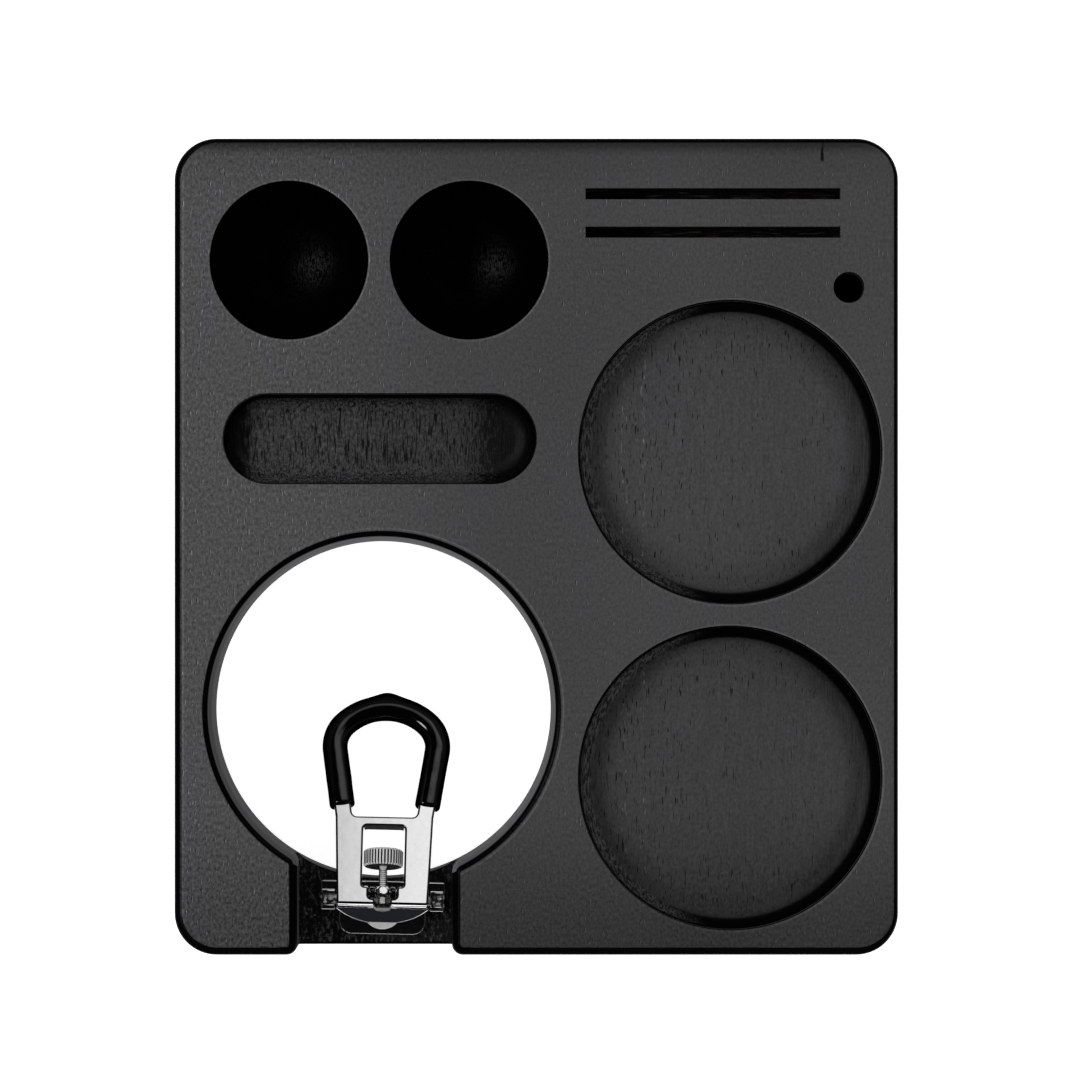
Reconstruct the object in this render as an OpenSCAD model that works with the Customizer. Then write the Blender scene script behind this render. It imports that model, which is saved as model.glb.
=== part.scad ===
// Espresso tamping station: a black-stained wooden block with pockets for the tools, an open ring
// for the portafilter, and a small chromed rest that tilts on a hinge in the ring's front channel.
// Millimetres. The origin is at the middle of the footprint, on the surface the feet stand on.
// +Z is up, and the front, where the channel opens, faces -Y.

/* [Block] */
// Thickness of the wood
block_t = 48; // [42:1:60]
// Radius of the block's four upright corners
block_corner_r = 8.4; // [6:0.2:12]
// Radius of the rounding along the top and bottom edges
block_edge_r = 1.8; // [1:0.1:2.4]
// Wood left between the ring and the block's left side
ring_margin = 7.6; // [6:0.2:12]
// Wood left between the ring and the round trays
ring_tray_web = 5.6; // [4:0.2:12]
// Wood left between the round trays and the block's right side
tray_margin = 3.4; // [2.6:0.2:12]
// Wood left between the front tray and the block's front
tray_front_margin = 5.1; // [4:0.1:12]
// Wood left between the two round trays
tray_web = 4.7; // [3:0.1:12]
// Wood behind the rear tray, which holds the slots
rear_field = 32.6; // [31:0.2:44]

/* [Portafilter ring and channel] */
// Radius of the ring's wall
ring_r = 33.9; // [32:0.1:36]
// Depth of the shelf, from the block's front to the ring
shelf_d = 15.1; // [14.6:0.1:18]
// Radius of the rounding at the ring's upper edge
ring_edge_r = 2.4; // [1:0.1:2.6]
// How far the channel's middle lies left of the ring's centre
channel_shift = 1.4; // [0:0.1:1.6]
// Room in the channel beside the bracket's wings, both sides together
channel_room = 5.9; // [5:0.1:8]
// Radius of the rounding at the channel's upper edges
channel_edge_r = 1.9; // [0.8:0.1:2.2]
// Height of the channel's shelf above the underside of the wood
shelf_h = 22; // [18:0.5:26]
// How far the shelf's front stops short of the block's front
shelf_setback = 1.6; // [0.5:0.1:3]
// Radius of the channel's two upright corners at the front
channel_mouth_r = 1.8; // [1:0.1:2.4]

/* [Pockets] */
// Radius of a round tray's wall
tray_r = 30.3; // [27:0.1:34]
// Depth of a tray
tray_depth = 8; // [7:0.5:14]
// Radius of the cove between a tray's wall and floor
tray_cove_r = 4.5; // [2:0.1:5]
// Radius of the rounding at a tray's rim
tray_rim_r = 0.9; // [0.4:0.1:1.2]
// Radius of a bowl
bowl_r = 15.8; // [14:0.1:18]
// Wood left between the left bowl and the block's left side
bowl_margin = 7.1; // [5:0.1:12]
// Wood left between the two bowls
bowl_web = 4.5; // [3:0.1:12]
// Wood left between the bowls and the block's rear
bowl_rear_margin = 8.6; // [5:0.1:14]
// Wood left between the bowls and the oblong tray
bowl_oblong_web = 11; // [4:0.5:16]
// Wood left between the oblong tray and the ring
oblong_ring_web = 11.5; // [6:0.5:16]
// Depth of the straight wall above a bowl's round bottom
bowl_wall = 13; // [6:0.5:18]
// Length of the oblong tray
oblong_l = 62.8; // [56:0.2:70]
// Width of the oblong tray
oblong_w = 18; // [14:0.2:20]
// Depth of the oblong tray
oblong_depth = 9; // [7:0.5:14]
// Radius of the cove at the oblong tray's floor
oblong_cove_r = 4.5; // [2:0.1:5]
// Wood left between the oblong tray and the block's left side
oblong_margin = 9.7; // [6:0.1:14]
// Length of a screen slot
slot_l = 51; // [44:0.5:60]
// Width of a screen slot
slot_w = 2.1; // [1.6:0.1:3]
// Depth of a screen slot
slot_depth = 18; // [10:1:24]
// Wood left between the right bowl and the slots
bowl_slot_web = 7.6; // [4:0.1:12]
// Wood left between the slots and the block's right side
slot_margin = 11.6; // [8:0.1:16]
// How far the rear slot lies in from the block's rear
rear_slot_inset = 11.1; // [8:0.1:13]
// Distance between the middles of the two slots
slot_gap = 7.7; // [5:0.1:9]
// Radius of the blind hole for the distribution tool
tool_hole_r = 2.93; // [2:0.05:3.6]
// Depth of the blind hole
tool_hole_depth = 20; // [10:1:26]
// How far the blind hole lies in from the block's right side
tool_hole_side_inset = 9.9; // [8:0.1:11]
// How far the blind hole lies in from the block's rear
tool_hole_rear_inset = 29.9; // [28:0.1:31]

/* [Feet] */
// Radius of a rubber foot
foot_r = 7; // [5:0.5:8]
// Thickness of a rubber foot
foot_t = 2; // [1:0.2:4]
// How far a foot's centre lies in from the block's sides
foot_inset = 14; // [12:0.5:16]

/* [Bracket base] */
// Place of the hinge pin behind the block's front face
hinge_inset = 10.54; // [10.2:0.1:11]
// Height of the hinge pin above the shelf
hinge_h = 6; // [6:0.1:7]
// How far the bracket was screwed on off square, in degrees
bracket_skew = 1.3; // [0:0.1:2]
// Thickness of the base plate
base_t = 1.4; // [1:0.1:1.6]
// Width of the base plate across its two wings
wing_w = 25.1; // [24.4:0.1:25.6]
// Rear edge of the wings, behind the hinge pin
wing_rear = 3.75; // [3.3:0.05:4.2]
// Width of the base plate's front tongue
tongue_w = 17.6; // [17:0.2:18.4]
// Front edge of the tongue, before the hinge pin
tongue_front = 6.9; // [6.6:0.1:7.4]
// Radius of the tongue's two front corners
tongue_corner_r = 2.7; // [1.5:0.1:3.5]
// Depth of an ear, front to rear
ear_d = 4.1; // [3.6:0.1:4.4]
// Radius of the rounding along an ear's upper edges
ear_edge_r = 0.55; // [0.3:0.05:0.7]
// Radius of the hinge pin
pin_r = 0.9; // [0.7:0.05:1]
// Radius of the pin's two peened heads
pin_head_r = 1.25; // [1.1:0.05:1.5]
// Length of a peened head
pin_head_l = 0.3; // [0.2:0.05:0.4]
// Thickness of each of the two lugs that hold the swivel nut
lug_t = 1.15; // [0.9:0.05:1.2]
// Radius of a lug's round head
lug_head_r = 0.95; // [0.8:0.05:1.05]

/* [Base screws] */
// Place of the screws left and right of the bracket's middle
base_screw_x = 5.2; // [4.6:0.1:5.8]
// Place of the front pair of screws before the hinge pin
front_screw_y = 2.3; // [2:0.1:2.5]
// Place of the rear pair of screws behind the hinge pin
rear_screw_y = 1.9; // [1.8:0.1:2]
// Radius of a screw's head
screw_head_r = 1.6; // [1.4:0.05:1.7]
// Radius of a screw's shank
screw_shank_r = 0.8; // [0.6:0.05:0.9]
// Length of a screw
screw_l = 10; // [7:0.5:14]
// Width of the cross recess in a screw's head
recess_w = 0.35; // [0.2:0.05:0.5]

/* [Arm] */
// Tilt of the arm at rest, its loop end down, in degrees
arm_tilt = 22; // [20:0.5:24]
// Thickness of the arm's plate
plate_t = 2.7; // [2.5:0.1:2.8]
// Height of the plate's underside above the pin's middle, square to the plate
plate_lift = 0.3; // [0.2:0.05:0.5]
// Front edge of the plate, before the pin
plate_front = 1.92; // [1.9:0.02:2]
// Half of the plate's width at its front edge
plate_front_half_w = 9.2; // [9:0.05:9.3]
// Half of the plate's width beside the knob
plate_waist_half_w = 9.5; // [9.3:0.05:9.8]
// Place of that waist behind the pin
plate_waist = 6.2; // [5:0.2:8]
// Place of the edge between the two prongs, behind the pin
plate_fork = 17; // [16.6:0.1:17.6]
// Radius of the fork's two inner corners
fork_corner_r = 0.9; // [0.5:0.1:1.2]
// Width of the window round the knob
window_w = 8.4; // [8.3:0.05:9]
// Front edge of the window, behind the pin
window_front = 1.85; // [1.6:0.05:2]
// Rear edge of the window, behind the pin
window_rear = 15; // [14:0.1:15.4]
// Radius of the window's corners
window_corner_r = 0.8; // [0.4:0.1:1.2]
// Width of the notch round the lugs
notch_w = 5.8; // [5.8:0.05:6.2]
// Front edge of the notch, before the pin
notch_front = 0.75; // [0.6:0.05:0.85]
// Width of the groove for the screw's tail
groove_w = 3.1; // [3.1:0.05:3.3]
// Radius of the hinge barrel under the plate
barrel_r = 1.75; // [1.6:0.05:1.8]
// Length of the nose, from the plate down to its lowest point
nose_l = 5.4; // [5.2:0.05:5.5]
// Half of the nose's width at its top
nose_half_w = 9.6; // [9.4:0.05:9.7]
// Thickness of the nose
nose_t = 1.1; // [0.8:0.05:1.2]
// Height of the nose's root above the plate's underside
nose_root = 0.2; // [0.15:0.05:0.3]
// Bend between the plate and the nose, in degrees
nose_bend = 74; // [72:0.5:76]
// How far the cup for the screw's tip stands out from the plate's front edge
cup_reach = 0.5; // [0.4:0.05:0.6]
// Thickness of the cup's wall
cup_wall = 0.5; // [0.3:0.05:0.6]
// Thickness of the cup's end
cup_end = 0.3; // [0.2:0.05:0.4]
// Half of the width of the thumb lip
lip_half_w = 2.9; // [2.4:0.1:3.4]
// How far the thumb lip stands out from the nose
lip_reach = 1.3; // [1:0.05:1.4]
// Thickness of the thumb lip
lip_t = 0.8; // [0.6:0.05:0.9]

/* [Loop] */
// Half of the loop's width, to the middle of its strip
loop_half_w = 10.36; // [10:0.05:10.6]
// Rise of the arch above its widest place
arch_rise = 8.3; // [8:0.05:8.6]
// Radius of the arch's two shoulders
arch_shoulder_r = 6.9; // [6.4:0.1:7.2]
// Place of the loop's widest part, behind the pin
loop_widest = 32.6; // [31:0.1:34]
// How far the two prongs lean in towards the plate, in degrees
prong_lean = 8.2; // [7.6:0.1:8.6]
// Width of the strip inside the loop
strip_w = 3.4; // [3:0.05:3.6]
// Place of the coat's two ends, behind the pin
coat_end = 19.4; // [19:0.1:20]
// Thickness of the vinyl coat
coat_t = 0.85; // [0.6:0.05:1]
// Height of the hardened drip at the loop's tip
drip_h = 0.7; // [0:0.1:1]

/* [Adjusting screw] */
// Place of the swivel nut's pin behind the hinge pin
swivel_y = 1.63; // [1.5:0.05:1.7]
// Height of the swivel nut's pin above the hinge pin
swivel_h = 1.7; // [1.65:0.05:1.8]
// Slope of the screw at rest, its knob end down, in degrees
screw_slope = 11; // [9:0.5:13]
// Radius of the swivel nut's ball
nut_r = 1.42; // [1.35:0.01:1.44]
// Radius of the swivel nut's pin
nut_pin_r = 0.5; // [0.4:0.05:0.6]
// Radius of the screw's thread
thread_r = 1.02; // [0.9:0.02:1.06]
// Length of the screw's tail, from the swivel nut's pin to its tip
tail_l = 2.6; // [2.2:0.05:2.7]
// Radius of the knurled knob
knob_r = 4; // [3.6:0.05:4.02]
// Length of the knob
knob_l = 3.35; // [3:0.05:4]
// Distance from the swivel nut's pin to the knob
knob_gap = 5.15; // [4.8:0.05:5.6]
// Number of ribs round the knob
knob_ribs = 40; // [24:1:48]
// Depth of the grooves between the ribs
rib_depth = 0.22; // [0.1:0.02:0.3]

/* [Clearances] */
// Radial clearance of every turning fit
running_fit = 0.06; // [0.03:0.01:0.08]
// Clearance between the ears and the arm
side_play = 0.4; // [0.3:0.05:0.5]
// Radial clearance round a wood screw
pilot_play = 0.05; // [0.02:0.01:0.1]
// Room left round the screw's tip in its cup
cup_play = 0.22; // [0.15:0.01:0.3]

/* [Hidden] */
$fn = 96;
cut = 1;
block_w = max(ring_margin + 2 * ring_r + ring_tray_web + 2 * tray_r + tray_margin,
              bowl_margin + 4 * bowl_r + bowl_web + bowl_slot_web + slot_l + slot_margin);
block_d = max(tray_front_margin + 4 * tray_r + tray_web + rear_field,
              shelf_d + 2 * ring_r + oblong_ring_web + oblong_w + bowl_oblong_web + 2 * bowl_r + bowl_rear_margin);
channel_w = wing_w + channel_room;
block_bottom = foot_t;
block_top = block_bottom + block_t;
shelf_z = block_bottom + shelf_h;
front_face = -block_d / 2;
rear_face = block_d / 2;
left_face = -block_w / 2;
right_face = block_w / 2;
ring_x = left_face + ring_margin + ring_r;
ring_y = front_face + shelf_d + ring_r;
tray_x = right_face - tray_margin - tray_r;
front_tray_y = front_face + tray_front_margin + tray_r;
rear_tray_y = front_tray_y + 2 * tray_r + tray_web;
bowl_y = rear_face - bowl_rear_margin - bowl_r;
left_bowl_x = left_face + bowl_margin + bowl_r;
right_bowl_x = left_bowl_x + 2 * bowl_r + bowl_web;
oblong_x = left_face + oblong_margin + oblong_l / 2;
oblong_y = bowl_y - bowl_r - bowl_oblong_web - oblong_w / 2;
slot_x = right_face - slot_margin - slot_l / 2;
rear_slot_y = rear_face - rear_slot_inset;
front_slot_y = rear_slot_y - slot_gap;
tool_hole_x = right_face - tool_hole_side_inset;
tool_hole_y = rear_face - tool_hole_rear_inset;
channel_x = ring_x - channel_shift;
hinge_y = front_face + hinge_inset;
plate_top = plate_lift + plate_t;
ear_in = plate_front_half_w + side_play;
ear_out = wing_w / 2 - pin_head_l;
lug_in = nut_r + running_fit;
lug_out = lug_in + lug_t;
wing_front = ear_d / 2;
base_screw_places = [[-1, -front_screw_y], [1, -front_screw_y], [-1, rear_screw_y], [1, rear_screw_y]];
nose_arc_r = (nose_half_w ^ 2 + nose_l ^ 2) / (2 * nose_l);
nose_foot_y = -plate_front - nose_l * cos(nose_bend);
nose_foot_z = plate_lift + nose_root - nose_l * sin(nose_bend);
lip_arc_r = (lip_half_w ^ 2 + lip_reach ^ 2) / (2 * lip_reach);
cup_r = thread_r + cup_play;
cup_z = (swivel_y - tail_l * cos(screw_slope)) * sin(arm_tilt)
      + (swivel_h + tail_l * sin(screw_slope)) * cos(arm_tilt);
coat_sides = 16;
coat_round = 0.72;

// The arch is a basket handle: two shoulders and a flatter crown that meet tangentially
shoulder_x = loop_half_w - arch_shoulder_r;
crown_r = (shoulder_x ^ 2 + arch_rise ^ 2 - arch_shoulder_r ^ 2) / (2 * (arch_rise - arch_shoulder_r));
crown_y = loop_widest + arch_rise - crown_r;
crown_turn = atan2(loop_widest - crown_y, shoulder_x);
lean_foot_x = shoulder_x + arch_shoulder_r * cos(prong_lean)
            - (loop_widest - arch_shoulder_r * sin(prong_lean) - plate_fork) * tan(prong_lean);

// Middle line of the loop's right half, from an end at height y0 up to the crown: place and direction
function half_loop(y0) = concat(
    [[lean_foot_x + (y0 - plate_fork) * tan(prong_lean), y0, 90 - prong_lean]],
    [for (a = [-prong_lean : (crown_turn + prong_lean) / 8 : crown_turn + 0.01])
        [shoulder_x + arch_shoulder_r * cos(a), loop_widest + arch_shoulder_r * sin(a), a + 90]],
    [for (a = [crown_turn + (90 - crown_turn) / 5 : (90 - crown_turn) / 5 : 90.01])
        [crown_r * cos(a), crown_y + crown_r * sin(a), a + 90]]);
function mirrored(points) = [for (i = [len(points) - 2 : -1 : 0])
    [-points[i][0], points[i][1], 360 - points[i][2]]];
function whole_loop(y0) = concat(half_loop(y0), mirrored(half_loop(y0)));
// A point beside the middle line, positive to the outside of the loop
function beside(p, d) = [p[0] + d * sin(p[2]), p[1] - d * cos(p[2])];
// How much the coat is swollen by the drip at a point of the middle line
function drip(p) = drip_h * exp(-(p[0] / 1.9) ^ 2) * (p[1] > loop_widest ? 1 : 0);
// Points round the coat's rounded section, and round the strip's square one, on the same rays
function coat_ring(p, half_w, half_h) = [for (i = [0 : coat_sides - 1])
    let (a = i * 360 / coat_sides, c = cos(a), s = sin(a),
         q = 1 / (abs(c) ^ (2 / coat_round) + abs(s) ^ (2 / coat_round)) ^ (coat_round / 2),
         grow = c > 0 ? drip(p) : 0, side = beside(p, c * q * (half_w + grow)))
    [side[0], side[1], plate_lift + plate_t / 2 + s * q * half_h]];
function strip_ring(p) = [for (i = [0 : coat_sides - 1])
    let (a = i * 360 / coat_sides, c = cos(a), s = sin(a), q = 1 / max(abs(c), abs(s)),
         side = beside(p, c * q * strip_w / 2))
    [side[0], side[1], plate_lift + plate_t / 2 + s * q * plate_t / 2]];

// Places what follows on the shelf, with the hinge pin's middle above the origin
module on_shelf()
    translate([ring_x, hinge_y, shelf_z]) rotate([0, 0, -bracket_skew]) children();

// Places what follows at the hinge pin, turned with the arm
module on_arm()
    on_shelf() translate([0, 0, hinge_h]) rotate([-arm_tilt, 0, 0]) children();

// Places what follows at the swivel nut's pin, with +Z along the screw towards its tip
module on_screw()
    on_shelf() translate([0, swivel_y, hinge_h + swivel_h]) rotate([90 - screw_slope, 0, 0]) children();

module rounded_rectangle(w, d, r)
    union() {
        square([w - 2 * r, d], center = true);
        square([w, d - 2 * r], center = true);
        for (x = [-1, 1], y = [-1, 1])
            translate([x * (w / 2 - r), y * (d / 2 - r)]) circle(r);
    }

// Profile that takes a rounding of radius r off an edge at the origin, along +X and down
module edge_profile(r)
    difference() {
        translate([-cut, -r]) square([r + cut, r + cut]);
        translate([r, -r]) circle(r);
    }

// What is taken off one upright quarter of the block at its upper edge
module block_edge_cut()
    union() {
        for (side = [0, 1])
            mirror([side, 0, 0]) {
                translate([-block_w / 2, block_d / 2 - block_corner_r, 0])
                    rotate([90, 0, 0])
                        linear_extrude(block_d - 2 * block_corner_r) edge_profile(block_edge_r);
                for (end = [0, 1])
                    mirror([0, end, 0])
                        translate([block_w / 2 - block_corner_r, block_d / 2 - block_corner_r, 0])
                            rotate_extrude(angle = 90)
                                translate([block_corner_r, 0]) mirror([1, 0]) edge_profile(block_edge_r);
            }
        for (end = [0, 1])
            mirror([0, end, 0])
                translate([-block_w / 2 + block_corner_r, -block_d / 2, 0])
                    rotate([90, 0, 90])
                        linear_extrude(block_w - 2 * block_corner_r) edge_profile(block_edge_r);
    }

// A round pocket's form: straight wall, coved floor and rounded rim, its rim at height 0
module round_pocket(r, depth, cove_r, rim_r)
    rotate_extrude() {
        translate([0, -depth]) square([r - cove_r, depth + cut]);
        translate([0, -depth + cove_r]) square([r, depth - cove_r + cut]);
        translate([r - cove_r, -depth + cove_r]) intersection() {
            circle(cove_r);
            translate([0, -cove_r]) square([cove_r, cove_r]);
        }
        translate([r, 0]) edge_profile(rim_r);
    }

module ring_cut()
    rotate_extrude() {
        translate([0, block_bottom - cut]) square([ring_r, block_t + 2 * cut]);
        translate([ring_r, block_top]) edge_profile(ring_edge_r);
        translate([ring_r, block_bottom]) mirror([0, 1]) edge_profile(block_edge_r);
    }

// Half of the channel's width at the shelf, with its rounded upper edge and front corner
module channel_half()
    let (half = channel_w / 2, reach = ring_y - front_face) {
        translate([0, front_face - cut, shelf_z])
            cube([half, reach + cut, block_t]);
        translate([half, ring_y, block_top]) rotate([90, 0, 0])
            linear_extrude(reach + cut) edge_profile(channel_edge_r);
        translate([half, front_face, block_bottom - cut])
            linear_extrude(block_t + 2 * cut) mirror([0, 1]) edge_profile(channel_mouth_r);
        translate([0, front_face - cut, block_bottom - cut])
            cube([half, shelf_setback + cut, block_t]);
    }

module oblong_profile()
    union() {
        translate([0, -oblong_depth]) square([oblong_w / 2 - oblong_cove_r, oblong_depth + cut]);
        translate([0, -oblong_depth + oblong_cove_r])
            square([oblong_w / 2, oblong_depth - oblong_cove_r + cut]);
        translate([oblong_w / 2 - oblong_cove_r, -oblong_depth + oblong_cove_r]) intersection() {
            circle(oblong_cove_r);
            translate([0, -oblong_cove_r]) square([oblong_cove_r, oblong_cove_r]);
        }
    }

module oblong_pocket()
    let (straight = oblong_l - oblong_w)
        for (side = [0, 1])
            mirror([side, 0, 0]) {
                translate([straight / 2, 0, 0]) rotate([0, 0, -90])
                    rotate_extrude(angle = 180) oblong_profile();
                for (edge = [0, 1])
                    mirror([0, edge, 0]) rotate([90, 0, 90])
                        linear_extrude(straight / 2) oblong_profile();
            }

// One piece of timber: routed pockets, open ring, channel, slots and pilot holes
module wood_block()
    color([0.09, 0.09, 0.095])
    difference() {
        translate([0, 0, block_bottom])
            linear_extrude(block_t) rounded_rectangle(block_w, block_d, block_corner_r);
        translate([0, 0, block_top]) block_edge_cut();
        translate([0, 0, block_bottom]) mirror([0, 0, 1]) block_edge_cut();
        translate([ring_x, ring_y, 0]) ring_cut();
        for (side = [0, 1])
            translate([channel_x, 0, 0]) mirror([side, 0, 0]) channel_half();
        for (y = [rear_tray_y, front_tray_y])
            translate([tray_x, y, block_top]) round_pocket(tray_r, tray_depth, tray_cove_r, tray_rim_r);
        for (x = [left_bowl_x, right_bowl_x])
            translate([x, bowl_y, block_top - bowl_wall]) {
                cylinder(h = bowl_wall + cut, r = bowl_r);
                sphere(bowl_r);
            }
        translate([oblong_x, oblong_y, block_top]) oblong_pocket();
        for (y = [rear_slot_y, front_slot_y])
            translate([slot_x - slot_l / 2, y - slot_w / 2, block_top - slot_depth])
                cube([slot_l, slot_w, slot_depth + cut]);
        translate([tool_hole_x, tool_hole_y, block_top - tool_hole_depth])
            cylinder(h = tool_hole_depth + cut, r = tool_hole_r);
        on_shelf()
            for (place = base_screw_places)
                translate([place[0] * base_screw_x, place[1], base_t - screw_l - cut])
                    cylinder(h = screw_l + cut, r = screw_shank_r + pilot_play);
    }

// Self-adhesive rubber foot under one corner
module foot(side_x, side_y)
    color([0.05, 0.05, 0.05])
    translate([side_x * (block_w / 2 - foot_inset), side_y * (block_d / 2 - foot_inset), 0])
        cylinder(h = foot_t, r = foot_r);

// Side view of an ear, seen along the pin, with its open cradle for the pin
module ear_profile()
    difference() {
        union() {
            translate([-ear_d / 2, 0]) square([ear_d, hinge_h]);
            translate([-ear_d / 2 + ear_edge_r, 0]) square([ear_d - 2 * ear_edge_r, hinge_h + ear_edge_r]);
            for (side = [-1, 1])
                translate([side * (ear_d / 2 - ear_edge_r), hinge_h]) circle(ear_edge_r);
        }
        translate([0, hinge_h]) circle(pin_r);
        translate([-pin_r, hinge_h]) square([2 * pin_r, pin_r + cut]);
    }

// Side view of a lug, which leans back from the base plate round the pin to the swivel nut
module lug_profile()
    difference() {
        union() {
            polygon([[0.2, 0], [0.2, hinge_h], [swivel_y - lug_head_r, hinge_h + swivel_h],
                     [swivel_y + lug_head_r, hinge_h + swivel_h], [wing_rear - 0.8, 0]]);
            translate([swivel_y, hinge_h + swivel_h]) circle(lug_head_r);
        }
        translate([0, hinge_h]) circle(pin_r);
        translate([swivel_y, hinge_h + swivel_h]) circle(nut_pin_r + running_fit);
    }

// Stands a side view upright between two places along the pin
module across(from, to)
    translate([from, 0, 0]) rotate([90, 0, 90]) linear_extrude(to - from) children();

// Pressed plate with two ears for the hinge pin and two lugs for the swivel nut
module bracket_base()
    color([0.75, 0.76, 0.78])
    on_shelf() difference() {
        union() {
            translate([-wing_w / 2, -wing_front, 0]) cube([wing_w, wing_front + wing_rear, base_t]);
            translate([0, (-tongue_front + wing_rear) / 2, 0])
                linear_extrude(base_t)
                    rounded_rectangle(tongue_w, tongue_front + wing_rear, tongue_corner_r);
            for (side = [0, 1])
                mirror([side, 0, 0]) {
                    across(ear_in, ear_out) ear_profile();
                    across(lug_in, lug_out) lug_profile();
                }
        }
        for (place = base_screw_places)
            translate([place[0] * base_screw_x, place[1], -cut]) {
                cylinder(h = base_t + 2 * cut, r = screw_shank_r + pilot_play);
                translate([0, 0, cut + base_t - screw_head_r + screw_shank_r])
                    cylinder(h = screw_head_r - screw_shank_r + 0.001,
                             r1 = screw_shank_r + pilot_play, r2 = screw_head_r + pilot_play);
            }
    }

// Steel pin with both ends peened over
module hinge_pin()
    color([0.8, 0.8, 0.82])
    on_shelf() translate([0, 0, hinge_h]) rotate([0, 90, 0]) {
        cylinder(h = 2 * ear_out, r = pin_r, center = true);
        for (side = [0, 1])
            mirror([0, 0, side]) translate([0, 0, ear_out]) cylinder(h = pin_head_l, r = pin_head_r);
    }

// The four countersunk wood screws that hold the base plate on the shelf
module base_screws()
    color([0.7, 0.7, 0.72])
    on_shelf()
        for (place = base_screw_places)
            translate([place[0] * base_screw_x, place[1], base_t - screw_l]) difference() {
                union() {
                    cylinder(h = screw_l - screw_head_r + screw_shank_r, r = screw_shank_r);
                    translate([0, 0, screw_l - screw_head_r + screw_shank_r])
                        cylinder(h = screw_head_r - screw_shank_r, r1 = screw_shank_r, r2 = screw_head_r);
                }
                for (turn = [0, 90])
                    translate([0, 0, screw_l]) rotate([0, 0, turn])
                        cube([1.5 * screw_head_r, recess_w, screw_head_r - screw_shank_r], center = true);
            }

// Outline of the arm's plate up to the fork, with the two prongs as far as the coat
module plate_outline()
    let (fork_half = lean_foot_x - strip_w / 2 / cos(prong_lean),
         outer_half = lean_foot_x + strip_w / 2 / cos(prong_lean)) {
        polygon([[-plate_front_half_w, -plate_front], [plate_front_half_w, -plate_front],
                 [plate_waist_half_w, plate_waist], [outer_half, plate_fork],
                 [-outer_half, plate_fork], [-plate_waist_half_w, plate_waist]]);
        for (side = [0, 1])
            mirror([side, 0]) translate([fork_half, plate_fork]) difference() {
                translate([-fork_corner_r, -0.01]) square([fork_corner_r + 0.3, fork_corner_r + 0.01]);
                translate([-fork_corner_r, fork_corner_r]) circle(fork_corner_r);
            }
    }

// The strip that runs from one prong round the arch to the other
module strip_outline()
    let (line = whole_loop(plate_fork - 0.5))
        polygon(concat([for (p = line) beside(p, strip_w / 2)],
                       [for (i = [len(line) - 1 : -1 : 0]) beside(line[i], -strip_w / 2)]));

// The nose seen square on, with its straight top at height 0
module nose_outline()
    intersection() {
        translate([0, nose_arc_r - nose_l]) circle(nose_arc_r);
        translate([-nose_half_w, -nose_l - cut]) square([2 * nose_half_w, nose_l + cut]);
    }

// Everything cut from the arm's plate, seen from above it
module plate_openings()
    union() {
        translate([0, (window_front + window_rear) / 2])
            rounded_rectangle(window_w, window_rear - window_front, window_corner_r);
        translate([0, (window_front + cut - notch_front) / 2])
            rounded_rectangle(notch_w, window_front + cut + notch_front, 0.7);
    }

// Chromed arm, cast in one: plate, prongs and arch, hinge barrel, nose and thumb lip
module arm()
    color([0.86, 0.87, 0.89])
    on_arm() difference() {
        union() {
            translate([0, 0, plate_lift]) linear_extrude(plate_t) plate_outline();
            translate([0, 0, plate_lift]) linear_extrude(plate_t) strip_outline();
            rotate([0, 90, 0]) cylinder(h = 2 * plate_front_half_w, r = barrel_r, center = true);
            translate([0, -plate_front, plate_lift + nose_root]) rotate([nose_bend, 0, 0])
                translate([0, 0, -nose_t]) linear_extrude(nose_t) nose_outline();
            translate([0, nose_foot_y, nose_foot_z]) linear_extrude(lip_t) intersection() {
                translate([0, lip_arc_r - lip_reach]) circle(lip_arc_r);
                translate([-lip_half_w, -lip_reach - cut]) square([2 * lip_half_w, lip_reach + cut + 0.4]);
            }
            translate([0, -plate_front - cup_reach, cup_z]) rotate([-90, 0, 0])
                cylinder(h = 2 * cup_reach, r = cup_r + cup_wall);
        }
        translate([0, 0, -2 * barrel_r]) linear_extrude(4 * barrel_r) plate_openings();
        translate([-groove_w / 2, -plate_front + cup_end, -2 * barrel_r])
            cube([groove_w, window_front + plate_front, 4 * barrel_r]);
        translate([0, -plate_front - cup_reach + cup_end, cup_z]) rotate([-90, 0, 0])
            cylinder(h = window_rear, r = cup_r);
        translate([-cup_r, -plate_front - cup_reach + cup_end, cup_z])
            cube([2 * cup_r, window_rear, plate_top]);
        rotate([0, 90, 0]) cylinder(h = wing_w, r = pin_r + running_fit, center = true);
    }

// Dipped vinyl coat round the prongs and arch, thickened by a drip at the tip
module loop_coat()
    color([0.04, 0.04, 0.045])
    let (line = whole_loop(coat_end), rings = len(line), n = coat_sides,
         half_w = strip_w / 2 + coat_t, half_h = plate_t / 2 + coat_t,
         points = concat([for (p = line) each coat_ring(p, half_w, half_h)],
                         [for (p = line) each strip_ring(p)]),
         inner = rings * n)
    on_arm() polyhedron(points, concat(
        [for (k = [0 : rings - 2], i = [0 : n - 1])
            [k * n + i, k * n + (i + 1) % n, (k + 1) * n + (i + 1) % n, (k + 1) * n + i]],
        [for (k = [0 : rings - 2], i = [0 : n - 1])
            [inner + (k + 1) * n + i, inner + (k + 1) * n + (i + 1) % n,
             inner + k * n + (i + 1) % n, inner + k * n + i]],
        [for (i = [0 : n - 1]) [i, inner + i, inner + (i + 1) % n, (i + 1) % n]],
        [for (i = [0 : n - 1]) let (e = (rings - 1) * n)
            [e + (i + 1) % n, inner + e + (i + 1) % n, inner + e + i, e + i]]));

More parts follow.
